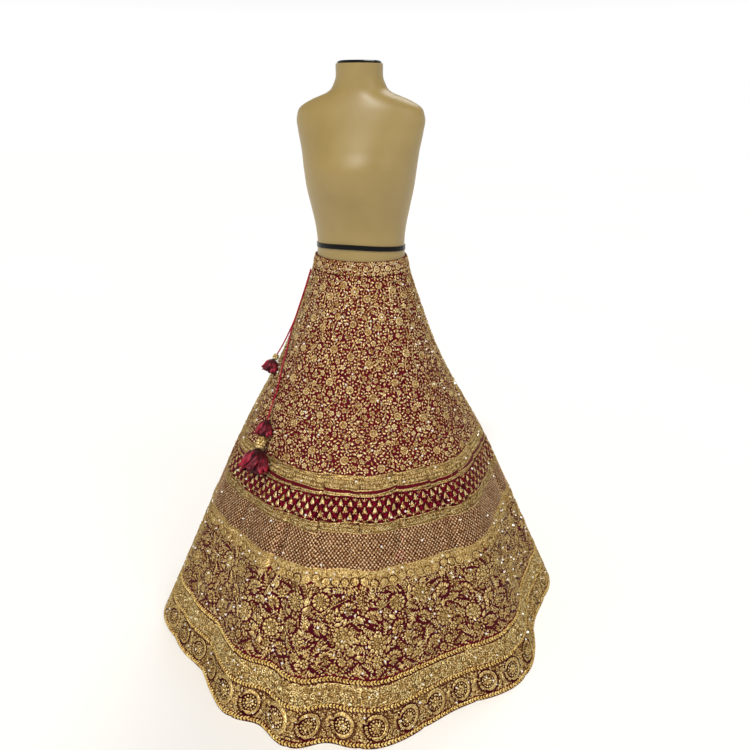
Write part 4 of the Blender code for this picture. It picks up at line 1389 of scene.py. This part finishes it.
# %% [markdown]
# ## Trellis of teardrops
# Crimson silk cords cross to make diamonds, and a gilt teardrop (a buti) stands in each one on
# three small leaves. Only half a diamond is left at the band's edges, so the drops there are small.

# %% Trellis
TRELLIS_ROWS, TRELLIS_COLUMNS = 4, 4
EDGE_ROW = 0.37  # how far the small drops stand from the band's edges, as a share of a row
# Width, length and height of each drop and of each leaf under it, in the middle rows and at the edges.
DROP, EDGE_DROP = (0.0116, 0.0174, 0.0028), (0.0062, 0.0094, 0.0024)
LEAF, EDGE_LEAF = (0.0038, 0.0058, 0.0020), (0.0030, 0.0060, 0.0018)
DROP_RISE, LEAF_FALL, LEAF_APART = 0.0010, 0.0066, 0.0044  # metres
CROSSED = (0.0026, 0.0013)  # the crossing cords' half width and height
# A spade shape, point up: an outline whose width follows its height, round a ridge in the middle.
TEARDROP = drawn(
    [(0, 0.5, 0), (-0.16, 0.22, 0), (-0.38, -0.06, 0), (-0.5, -0.28, 0), (-0.34, -0.46, 0), (0, -0.5, 0),
     (0.34, -0.46, 0), (0.5, -0.28, 0), (0.38, -0.06, 0), (0.16, 0.22, 0), (0, 0.16, 1), (0, -0.2, 1)],
    [(0, 1, 10), (1, 2, 10), (2, 11, 10), (2, 3, 11), (3, 4, 11), (4, 5, 11), (5, 6, 11), (6, 7, 11),
     (7, 8, 11), (8, 10, 11), (8, 9, 10), (9, 0, 10)],
)


def trellis_drops():
    """Teardrops as far apart as a quarter of the gore, in rows that are staggered by half a diamond."""
    top, bottom = slopes["trellis"]
    tall = (bottom - top) / TRELLIS_ROWS
    drops, leaves = [], []
    for row in range(TRELLIS_ROWS + 1):
        down = top + np.clip(row, EDGE_ROW, TRELLIS_ROWS - EDGE_ROW) * tall
        pitch = float(gore_width(down)) / TRELLIS_COLUMNS
        across = (np.arange(TRELLIS_COLUMNS) - (TRELLIS_COLUMNS - 1 + row % 2) / 2) * pitch
        if 0 < row < TRELLIS_ROWS:
            drops += [(x, down - DROP_RISE, 0, *DROP) for x in across]
            leaves += [(x + side * LEAF_APART, down + LEAF_FALL, side * 0.5, *LEAF)
                       for x in across for side in (-1, 0, 1)]
        else:
            drops += [(x, down, 0, *EDGE_DROP) for x in across]
            leaves += [(x + side * LEAF_APART, down, side * 0.7, *EDGE_LEAF)
                       for x in across for side in (-1, 1)]
    return [(TEARDROP, drops, ALL_GORES), (STITCH, leaves, ALL_GORES)]


def trellis_lines():
    """Slanting cords both ways, each cut off where it leaves the gore."""
    top, bottom = slopes["trellis"]
    share = np.linspace(0, 1, 15)
    down = top + (bottom - top) * share
    pitch = gore_width(down) / TRELLIS_COLUMNS
    lines = []
    for k in range(-3 * TRELLIS_COLUMNS, 3 * TRELLIS_COLUMNS + 1):
        for way in (-1, 1):
            across = (k + way * TRELLIS_ROWS * share / 2) * pitch
            inside = np.abs(across) < gore_width(down) / 2 - FROM_SEAM
            if inside.sum() > 2:
                lines.append(cord_on(np.stack([across, top - down], 1)[inside], CROSSED[0], top, CROSSED[1]))
    return lines


# Painted shade: a dark strip in the diamonds between the crossed cords and round the raised drops.
laid_strip("trellis_painted_shade", *slopes["trellis"], 4, maroon_painted_shade, "crimson_silk", SHADE_STRIP_LIFT)
embroider("trellis_cords", trellis_lines(), crimson_thread, 35, slot="crimson_silk")
embroider("trellis_teardrops", trellis_drops(), zari_gold, 36)

# %% [markdown]
# ## Narrow gold band
# Solid filling again, with two rows of small hoops between cords, and a knot in each hoop and
# between them.

# %% Narrow gold band
HOOP_PITCH = 0.0088
HOOP_ROWS = ((0.32, 0.0), (0.66, 0.5))  # share of the band's depth, and offset along the row
KNOT_ROWS = HOOP_ROWS + ((0.32, 0.5), (0.66, 0.0))
HOOP_SIZE, HOOP_KNOT = (0.0040, 0.0040, 0.0011), (0.0016, 0.0016, 0.0012)  # width, length and height

# A cord along each edge, and rows of hoops and knots at shares of the way down.
laid_strip("narrow_band_filling", *slopes["narrow_gold"], 3, zari_shade_filling)
top, bottom = slopes["narrow_gold"]
tall = bottom - top
groups = edge_cords(top, bottom, 0.0013, 0.0013, 0.0016)
groups += [across_row(SMALL_HOOP, top + tall * share, HOOP_PITCH, 0, *HOOP_SIZE, offset)
           for share, offset in HOOP_ROWS]
groups += [across_row(BEAD, top + tall * share, HOOP_PITCH, 0, *HOOP_KNOT, offset)
           for share, offset in KNOT_ROWS]
embroider("narrow_band_hoops", groups, zari_gold, 37, on=ON_LINE)

# %% [markdown]
# ## Fine net
# A jaal is a net drawn in stitches. Small rose-gilt knots stand at the crossings of slanting
# lines, 9 mm apart, so the dark ground between them, a strip of painted shade, shows through as a
# fine check.

# %% Net
NET_PITCH, NET_ROW = 0.0092, 0.0056
KNOT, SLANT = (0.0027, 0.0027, 0.0020), (0.0014, 0.0062, 0.0009)  # width, length and height

# Staggered rows of knots, each joined to the two below it by a thin slanted stitch.
# Painted shade: the dark strip between the net's knots.
laid_strip("net_ground_painted_shade", *slopes["net"], 4, brown_shade_filling, lift=SHADE_STRIP_LIFT)
top, bottom = slopes["net"]
count = round((bottom - top) / NET_ROW)
columns = round(float(gore_width((top + bottom) / 2)) / NET_PITCH)
knots, slants = [], []
for row in range(count):
    down = top + (row + 0.5) * (bottom - top) / count
    pitch = float(gore_width(down)) / columns
    across = (np.arange(columns) - (columns - 1) / 2 + (0.25 if row % 2 else -0.25)) * pitch
    lean = math.atan2(pitch / 2, NET_ROW)
    knots += [(x, down, 0, *KNOT) for x in across]
    slants += [(x + way * pitch / 4, down + NET_ROW / 2, way * lean, *SLANT)
               for way in (-1, 1) for x in across]
embroider("net", [(BEAD, knots, ALL_GORES), (STITCH, slants, ALL_GORES)], rose_zari, 38)

# %% [markdown]
# ## Scalloped gold band
# A solid band, with round gilt coins on dark discs below two cords and rows of leaves and knots.
# Each disc is a little wider than its coin: painted shade round the coin's foot.
# Its lower edge sags between the seams and rises to a notch at each one, so a small crimson
# triangle shows under every seam.

# %% Scalloped band
SCALLOP_DIP, SCALLOPS = 0.013, 5
COIN_RISE, FAN_RISE = 0.0110, 0.0030  # metres above the lower edge
ACROSS_SHARE = 0.985  # of the gore's width, so that nothing crosses a seam
# Width, length and height of a coin, its middle bead, the disc under it, and the petal between two.
COIN_SIZE, COIN_BEAD = (0.0101, 0.0101, 0.0034), (0.0030, 0.0030, 0.0046)
COIN_SHADE_DISC, FAN_PETAL = (0.0120, 0.0120, 0.0010), (0.0054, 0.0090, 0.0020)
COIN_SHADE_ON = 0.0003  # metres off the cloth
# Each row's distance from the band's top, then turn for the leaves, and offset along the row.
LEAF_ROWS, LEAF_SIZE = ((0.0105, 0.7, 0.0), (0.0105, -0.7, 0.5)), (0.0042, 0.0095, 0.0018)
BEAD_ROWS_DOWN, BEAD_SIZE = ((0.0072, 0.0), (0.0146, 0.5)), (0.0022, 0.0022, 0.0018)


def coin_places():
    """Five places across a gore, at an even height over its scalloped lower edge."""
    bottom = slopes["scalloped"][1]
    share = (np.arange(SCALLOPS) + 0.5) / SCALLOPS - 0.5
    across = share * float(gore_width(bottom)) * ACROSS_SHARE
    return np.stack([across, bottom - sag(share, SCALLOP_DIP) - COIN_RISE], 1)


# Cords along both edges, coins, a petal between each two, and rows of leaves and knots above them.
laid_strip("scalloped_band_filling", *slopes["scalloped"], 5, bright_ground, dip=SCALLOP_DIP)
# Painted shade: a dark disc a little wider than each coin, under it.
shade_discs = [motifs(SHADE_DISC, coin_places(), *COIN_SHADE_DISC, 0)]
embroider("coin_painted_shade", shade_discs, maroon_painted_shade, 45, on=COIN_SHADE_ON)
top, bottom = slopes["scalloped"]
wide = float(gore_width(bottom))
between = (np.arange(SCALLOPS + 1) / SCALLOPS - 0.5)[1:-1]
fans = np.stack([between * wide, bottom - sag(between, SCALLOP_DIP) - FAN_RISE], 1)
u = np.linspace(-0.5, 0.5, 23)
edge = np.stack([u * wide * ACROSS_SHARE, sag(u, SCALLOP_DIP)], 1)[::-1]
groups = [level_cord(top + k * 0.0030 + 0.0014, 0.0014, 0.0012) for k in range(2)]
groups.append(cord_on(edge, 0.0014, bottom - 0.0014, 0.0013))
groups.append(motifs(COIN, coin_places(), *COIN_SIZE, 0))
groups.append(motifs(BEAD, coin_places(), *COIN_BEAD, 0))
groups.append(motifs(PETAL, fans, *FAN_PETAL, math.pi))
groups += [across_row(PETAL, top + down, 0.0060, turn, *LEAF_SIZE, offset)
           for down, turn, offset in LEAF_ROWS]
groups += [across_row(BEAD, top + down, 0.0048, 0, *BEAD_SIZE, offset) for down, offset in BEAD_ROWS_DOWN]
embroider("scalloped_band_flowers", groups, zari_shaded_copy, 39, on=ON_FILLING)

# %% [markdown]
# ## Large flowers
# The deepest band is a garden. Double flowers seen from above and palmettes seen from the side
# stand at listed places, in two layouts that take turns round the skirt. Medium flowers, toothed
# leaves, fronds, coils and knots fill in round them until only slivers of crimson are left. That
# crimson is a strip of darker silk, painted shade between the raised motifs, and a dark disc a
# little wider than each round flower is painted shade round its foot.

# %% Large flowers
# Across as a share of the gore's width, metres below the band's top, radius, and turn in radians.
BLOWN = (
    ((-0.24, 0.040, 0.0215, 0.4), (0.20, 0.118, 0.0235, 2.0)),
    ((0.23, 0.047, 0.0230, 1.1), (-0.19, 0.128, 0.0215, 3.0)),
)
HALF_OPEN = (
    ((0.25, 0.052, 0.0205, 0.5), (-0.22, 0.100, 0.0200, -0.7), (-0.10, 0.168, 0.0200, 0.3)),
    ((-0.23, 0.068, 0.0205, -0.4), (0.22, 0.104, 0.0190, 0.9), (0.10, 0.166, 0.0200, -0.2)),
)
BIG_HEIGHT, SHADE_DISC_HEIGHT = 0.0032, 0.0006  # metres
MEDIUM_RADIUS, SHADE_DISC_SHARE = 0.0110, 0.90  # metres, and a disc's radius as a share of its flower's
FERN_SWING = (0.9, 1.6)  # radians
GARDEN_STEM = (0.30, 0.105, 0.0011, 0.8)  # as STEM, with its phase in radians
GARDEN = (
    (flower(7, 0.28), (0.0112, 0.0112, 0.0028), 0.0112, 0.020, 0.013, 30, "heart"),
    (fern(), (0.0270, 0.0300, 0.0026), 0.0072, 0.014, 0.012, 300, (0.0105, FERN_SWING)),
    (curl(13, 0.5, 0.20), (0.0068, 0.0068, 0.0022), 0.0062, 0.008, 0.007, 60, None),
    (PETAL, (0.0104, 0.0225, 0.0026), 0.0040, 0.010, 0.008, 3000, (0.0066, SWING)),
    (STITCH, (0.0060, 0.0116, 0.0024), 0.0023, 0.002, 0.003, 16000, (0.0018, SWING)),
    (BEAD, (0.0025, 0.0025, 0.0018), 0.0021, 0.002, 0, 6000, None),
)


def large_flower_layout(blown, half_open, seed, gores):
    """One gore's layout: big flowers at their places, then what has room round them, larger first."""
    rng = np.random.default_rng(seed)
    top, bottom = slopes["large_flowers"]
    wide = float(gore_width((top + bottom) / 2))
    blown, half_open = np.array(blown), np.array(half_open)
    taken = np.concatenate([blown, half_open])[:, :3] * (wide, 1, 1) + (0, top, 0)
    blown_places, half_places = (np.column_stack([big[:, 0] * wide, big[:, 1] + top, big[:, 3]])
                                 for big in (blown, half_open))
    filling = fill_in("large_flowers", GARDEN, taken, taken[:, :2], rng, gores)
    medium, ferns, coils, fronds, leaves, knots = filling
    places = np.concatenate([blown_places, medium[1][:, :3]])
    reach = np.concatenate([blown[:, 2], np.full(len(medium[1]), MEDIUM_RADIUS)]) * SHADE_DISC_SHARE
    big = [
        motifs(double_flower(), blown_places, blown[:, 2], blown[:, 2], BIG_HEIGHT, gores=gores),
        motifs(palmette(), half_places, half_open[:, 2], half_open[:, 2], BIG_HEIGHT, gores=gores),
    ]
    # Dark discs a little wider than the round flowers: painted shade round their feet.
    shade_discs = [motifs(SHADE_DISC, places, reach, reach, SHADE_DISC_HEIGHT, gores=gores)]
    return shade_discs, big + [medium, ferns, fronds, coils, leaves, knots]


# A winding stem on every gore, and two layouts in turn round the skirt.
# A darker silk strip under the band: painted shade between the raised motifs.
laid_strip("flower_ground_painted_shade", *slopes["large_flowers"], 8, shaded_silk_copy, lift=SHADE_STRIP_LIFT)
top, bottom = slopes["large_flowers"]
under, groups = [], [winding_stem(top + 0.012, bottom - 0.004, *GARDEN_STEM)]
for number, (blown, half_open) in enumerate(zip(BLOWN, HALF_OPEN)):
    flower_shade_discs, above = large_flower_layout(blown, half_open, 230 + number, slice(number, None, len(BLOWN)))
    under += flower_shade_discs
    groups += above
# Painted shade: the dark discs under the round flowers.
embroider("flower_painted_shade_discs", under, zari_shade_filling, 44)
embroider("large_flowers", groups, zari_shaded_copy, 40)

# %% [markdown]
# ## Couched ropes
# Two ropes ring the skirt above the hem and a third binds its edge. Each is a plait: two rows of
# fat stitches that lean towards each other like arrowheads, on a dark strip that reaches further
# below the rope than above it, partly its core and partly a painted shadow under the rope. They
# stand for the plain rings of the solid model and cover the same ground.

# %% Ropes
PLAIT_PITCH, PLAIT_LEAN = 0.0080, 52  # metres, degrees
# The solid that a rope stands for, its height, half its width down the cloth, and how proud it is.
ROPES = (
    ("braid_upper", 0.129, 0.0052, 0.0036),
    ("braid_lower", 0.075, 0.0046, 0.0032),
    ("hem_cording", 0.0062, 0.0048, 0.0038),
)
KNOT_HEIGHTS = (0.1217, 0.0690)  # metres: a row of knots lies under each of the two upper ropes
ROPE_KNOT = (0.0014, 0.0014, 0.0016)  # width, length and height


def plaited_rope(solid, height, half_tall, proud, seed):
    """Two rows of plump petals that lean either way, above and below the middle line."""
    down, lean = float(slope_at(height)), math.radians(PLAIT_LEAN)
    size = (PLAIT_PITCH * 0.62, half_tall * 2.1, proud)
    rows = [across_row(PETAL, down + side * half_tall * 0.46, PLAIT_PITCH, side * lean, *size, edge=0.0)
            for side in (-1, 1)]
    return embroider(solid + "_plait", rows, rope_gold, seed, on=ON_LINE, slot="gold_cord")


for seed, (solid, height, half_tall, proud) in enumerate(ROPES, 50):
    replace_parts(plaited_rope(solid, height, half_tall, proud, seed), solid)
    down = float(slope_at(height))
    # The dark strip is partly the rope's core and partly painted shadow: it reaches further below the rope.
    top, foot = down - half_tall * 1.1, min(down + half_tall * 1.7, SIDE_LENGTH - LOWEST)
    laid_strip(solid + "_core_and_painted_shadow", top, foot, 4, maroon_painted_shade, "gold_cord", CORE_AND_SHADOW_LIFT)

knots = [across_row(BEAD, float(slope_at(height)), 0.0046, 0, *ROPE_KNOT) for height in KNOT_HEIGHTS]
embroider("rope_edge_knots", knots, zari_gold, 54, slot="gold_cord")

# %% [markdown]
# ## Curled gold band
# Between the two ropes the gold is solid, worked in small coils (vermicelli) with knots between.

# %% Curled band
NOTHING_YET = np.array([(9.0, 9.0, 0.001)])  # one place far off the gore, for a band that starts empty
VERMICELLI = (
    (curl(15, 0.4, 0.18), (0.0080, 0.0080, 0.0028), 0.0074, 0.0080, 0.0080, 1500, None),
    (BEAD, (0.0026, 0.0026, 0.0020), 0.0018, 0.001, 0.001, 3000, None),
)

# A cord along each edge, and coils and knots wherever there is room.
laid_strip("curled_band_filling", *slopes["curled"], 4, zari_shade_filling)
edges = edge_cords(*slopes["curled"], 0.0012, 0.0011, 0.0011)
coils = fill_in("curled", VERMICELLI, NOTHING_YET, None, np.random.default_rng(24))
embroider("curled_band", edges + coils, zari_gold, 41, on=ON_FILLING, mirrored=True)

# %% [markdown]
# ## Medallions
# The hem's band is solid gold with two medallions on each gore. A broad rope runs most of the way
# round and ends in a tail, like a mango (a paisley). Leaves fan out in its gap, and a flower stands
# inside it in a ring of knots. A dark disc a little wider than each one is painted shade round its
# foot and in its gaps.

# %% Medallions
MEDALLION_SIZE, MEDALLION_SHADE_SIZE = (0.0285, 0.0302, 0.0036), (0.0296, 0.0310, 0.0009)
MEDALLION_CLEAR = 0.0018  # metres kept free round each one
HEM_FILLING = (
    (curl(13, 0.4, 0.20), (0.0058, 0.0058, 0.0024), 0.0050, 0.0060, 0.0060, 900, None),
    (STITCH, (0.0056, 0.0108, 0.0022), 0.0028, 0.003, 0.003, 3000, (0.0016, SWING)),
    (BEAD, (0.0024, 0.0024, 0.0018), 0.0018, 0.001, 0.001, 3000, None),
)


def medallion():
    """A rope 0.8 of the way round, a tail at its head, leaves in its gap, and a flower in a ring of knots."""
    angle = np.linspace(2.75, 2.75 - math.tau * 0.80, 32)
    shrink = np.linspace(0.85, 0.78, len(angle))[:, None]
    rope = couched(shrink * np.stack([np.cos(angle), np.sin(angle)], 1), 0.18, 0.12)
    tail = ((-0.74, 0.30), (-0.98, 0.44), (-1.22, 0.34), (-1.30, 0.04), (-1.16, -0.16))
    return joined([
        rope,
        couched(through(tail, 0.14), 0.11, 0.25),
        fanned(STITCH, np.linspace(0.9, 2.3, 5), 0.92, 0.11, 0.26, 0.8),
        fanned(PETAL, np.linspace(1.50, 2.45, 6), 0.83, 0.16, 0.36, 0.9),
        round_about(BEAD, 14, 0.53, 0.112, 0.112, 0.9),
        round_about(ROUND_PETAL, 7, 0.26, 0.30, 0.37, 1.1),
        resized(DOME, 0.14, 0.14, 1.4),
    ])


# Discs, medallions on them, and coils, leaves and knots in the room that is left.
# Painted shade: the dark filling between the hem's motifs.
laid_strip("medallion_band_filling", *slopes["medallions"], 6, brown_shade_filling)
middle = sum(slopes["medallions"]) / 2
quarter = float(gore_width(middle)) / 4
places = np.array([(-quarter, middle, 0), (quarter, middle, 0)])
taken = places + (0, 0, MEDALLION_SIZE[0] + MEDALLION_CLEAR)
filling = fill_in("medallions", HEM_FILLING, taken, places[:, :2], np.random.default_rng(25))
under = [motifs(MEDALLION_SHADE_DISC, places, *MEDALLION_SHADE_SIZE)]
groups = [motifs(medallion(), places, *MEDALLION_SIZE)] + filling
# Painted shade: the dark disc under each medallion.
embroider("medallion_painted_shade", under, maroon_painted_shade, 47, on=ON_FILLING, mirrored=True)
embroider("medallion_band", groups, zari_shaded_copy, 42, on=ON_FILLING, mirrored=True)

# %% [markdown]
# ## Crystals
# Cut-glass stones are glued in as the last step. Each is a small pyramid with a flat table. Their
# colour is near white, a painted sparkle, so each shows as a bright point. They lie at any turn and
# tilt with the folds, and so one in a few throws a white spark too.

# %% Crystals
# How many are thrown on each gore, band by band.
CRYSTALS = {"small_flowers": 6, "ribbed": 1, "trellis": 1, "net": 1, "scalloped": 3, "large_flowers": 9,
            "curled": 2, "medallions": 4}
STONE_RADIUS, STONE_HEIGHT, STONE_ON = 0.0029, 0.0034, 0.0006  # metres; the last is how far they stand off


def crystal_painted_sparkle():
    """Foil-backed glass: sharp, a little warm, near white as a painted sparkle, facets differing by their own
    tone.
    """
    made, tree, shader = start_finish("foil_backed_crystal_painted_sparkle", Roughness=0.12, Metallic=0.15, Coat_Weight=1.0,
                                      Coat_Roughness=0.03)
    tone = add_node(tree, "Attribute", attribute_name="tone")
    # Painted highlight: the near-white colour stands for the glass's sparkle.
    vary(tree, shader, tone.outputs["Fac"], "#efe8d4", "#ffffff")
    return made


def thrown(shape, spread, size, height, seed):
    """Groups for embroider(): a shape thrown at each gore anew, as often as spread says for each band."""
    rng = np.random.default_rng(seed)
    groups = []
    for kali in range(KALIS):
        for band, count in spread.items():
            top, bottom = slopes[band]
            down = rng.uniform(top + 0.004, bottom - 0.004, count)
            across = rng.uniform(-0.48, 0.48, count) * gore_width(down)
            places = np.stack([across, down, rng.uniform(0, 6, count)], 1)
            groups.append(motifs(shape, places, size, size, height, gores=slice(kali, kali + 1)))
    return groups


stones = thrown(STONE, CRYSTALS, STONE_RADIUS, STONE_HEIGHT, 26)
embroider("crystals", stones, crystal_painted_sparkle(), 43, on=STONE_ON, slot="gold_beads", mirrored=True, smooth=False)

# %% [markdown]
# ## Sequins
# Small gilt sequins stand between the motifs of all the bands but the thin gold line. Their pale,
# nearly white gilt is partly their own colour and partly a painted glint.

# %% Sequins
SEQUINS = {"waist": 8, "small_flowers": 90, "ribbed": 6, "trellis": 5, "narrow_gold": 5, "net": 10,
           "scalloped": 12, "large_flowers": 60, "curled": 16, "medallions": 26}
SEQUIN_RADIUS, SEQUIN_HEIGHT, SEQUIN_ON = 0.0014, 0.0010, 0.0022  # metres; the last is how far they stand off

sequins = thrown(BEAD, SEQUINS, SEQUIN_RADIUS, SEQUIN_HEIGHT, 27)
embroider("sequins", sequins, sequin_painted_glint, 46, on=SEQUIN_ON, slot="gold_beads", mirrored=True)
print(len(worked), "worked pieces")

# %% Embroidery done
print("embroidery made")

# %% [markdown]
# ## Floor and light
# A pale, even studio: a wide matt floor, a high key lamp in front, a weak fill from the side, and a
# lamp from behind for the edges. Sun lamps light all of the skirt alike, and their width softens
# the shadows. The sky is white near the ground and dim overhead, so the gilt has something pale to
# reflect at its sides while the lamps make its small bright points.

# %% Floor and light
FLOOR_HALF, FLOOR_DROP = 14.0, 0.0005  # metres: the floor lies just under the solids
# Each lamp's azimuth, elevation and width in degrees, and its strength.
LAMPS = {
    "key_light": (-6, 54, 8, 2.5),
    "fill_light": (60, 35, 30, 0.5),
    "back_light": (170, 45, 30, 0.9),
}


def paper_floor():
    """Matt studio paper, very slightly uneven in tone."""
    made, tree, shader = start_finish("matt_studio_paper", Roughness=0.9)
    at = add_node(tree, "TexCoord").outputs["Object"]
    uneven = add_node(tree, "TexNoise", {"Vector": at, "Scale": 0.6})
    vary(tree, shader, uneven.outputs[0], "#f3f2f0", "#f8f7f5")
    return made


def pale_sky(sky):
    """A white world whose strength falls from 1 near the horizon to 0.16 above."""
    way = add_node(sky, "TexCoord")
    split = add_node(sky, "SeparateXYZ", {"Vector": way.outputs["Generated"]})
    fall = {VALUE: split.outputs["Z"], FROM_LOW: 0.10, FROM_HIGH: 0.5, TO_LOW: 1.0, TO_HIGH: 0.16}
    rise = add_node(sky, "MapRange", fall)
    sky.links.new(rise.outputs[0], sky.nodes["Background"].inputs["Strength"])
    sky.nodes["Background"].inputs["Color"].default_value = linear("#ffffff")


floor_mesh = bpy.data.meshes.new("floor")
corners = [(x * FLOOR_HALF, y * FLOOR_HALF, -FLOOR_DROP) for x, y in ((-1, -1), (1, -1), (1, 1), (-1, 1))]
floor_mesh.from_pydata(corners, [], [(0, 1, 2, 3)])
floor_mesh.materials.append(paper_floor())
floor = bpy.data.objects.new("floor", floor_mesh)
bpy.context.scene.collection.objects.link(floor)

for name, (azimuth, elevation, width, strength) in LAMPS.items():
    lamp = bpy.data.lights.new(name, "SUN")
    lamp.energy, lamp.angle, lamp.color = strength, math.radians(width), linear("#fffcf8")[:3]
    stand = bpy.data.objects.new(name, lamp)
    stand.rotation_euler = (math.radians(90 - elevation), 0, math.radians(azimuth))
    bpy.context.scene.collection.objects.link(stand)

room = bpy.data.worlds.new("room")
bpy.context.scene.world = room
room.use_nodes = True
pale_sky(room.node_tree)
bpy.context.scene.view_settings.view_transform = "Standard"
print(len(LAMPS), "lamps")
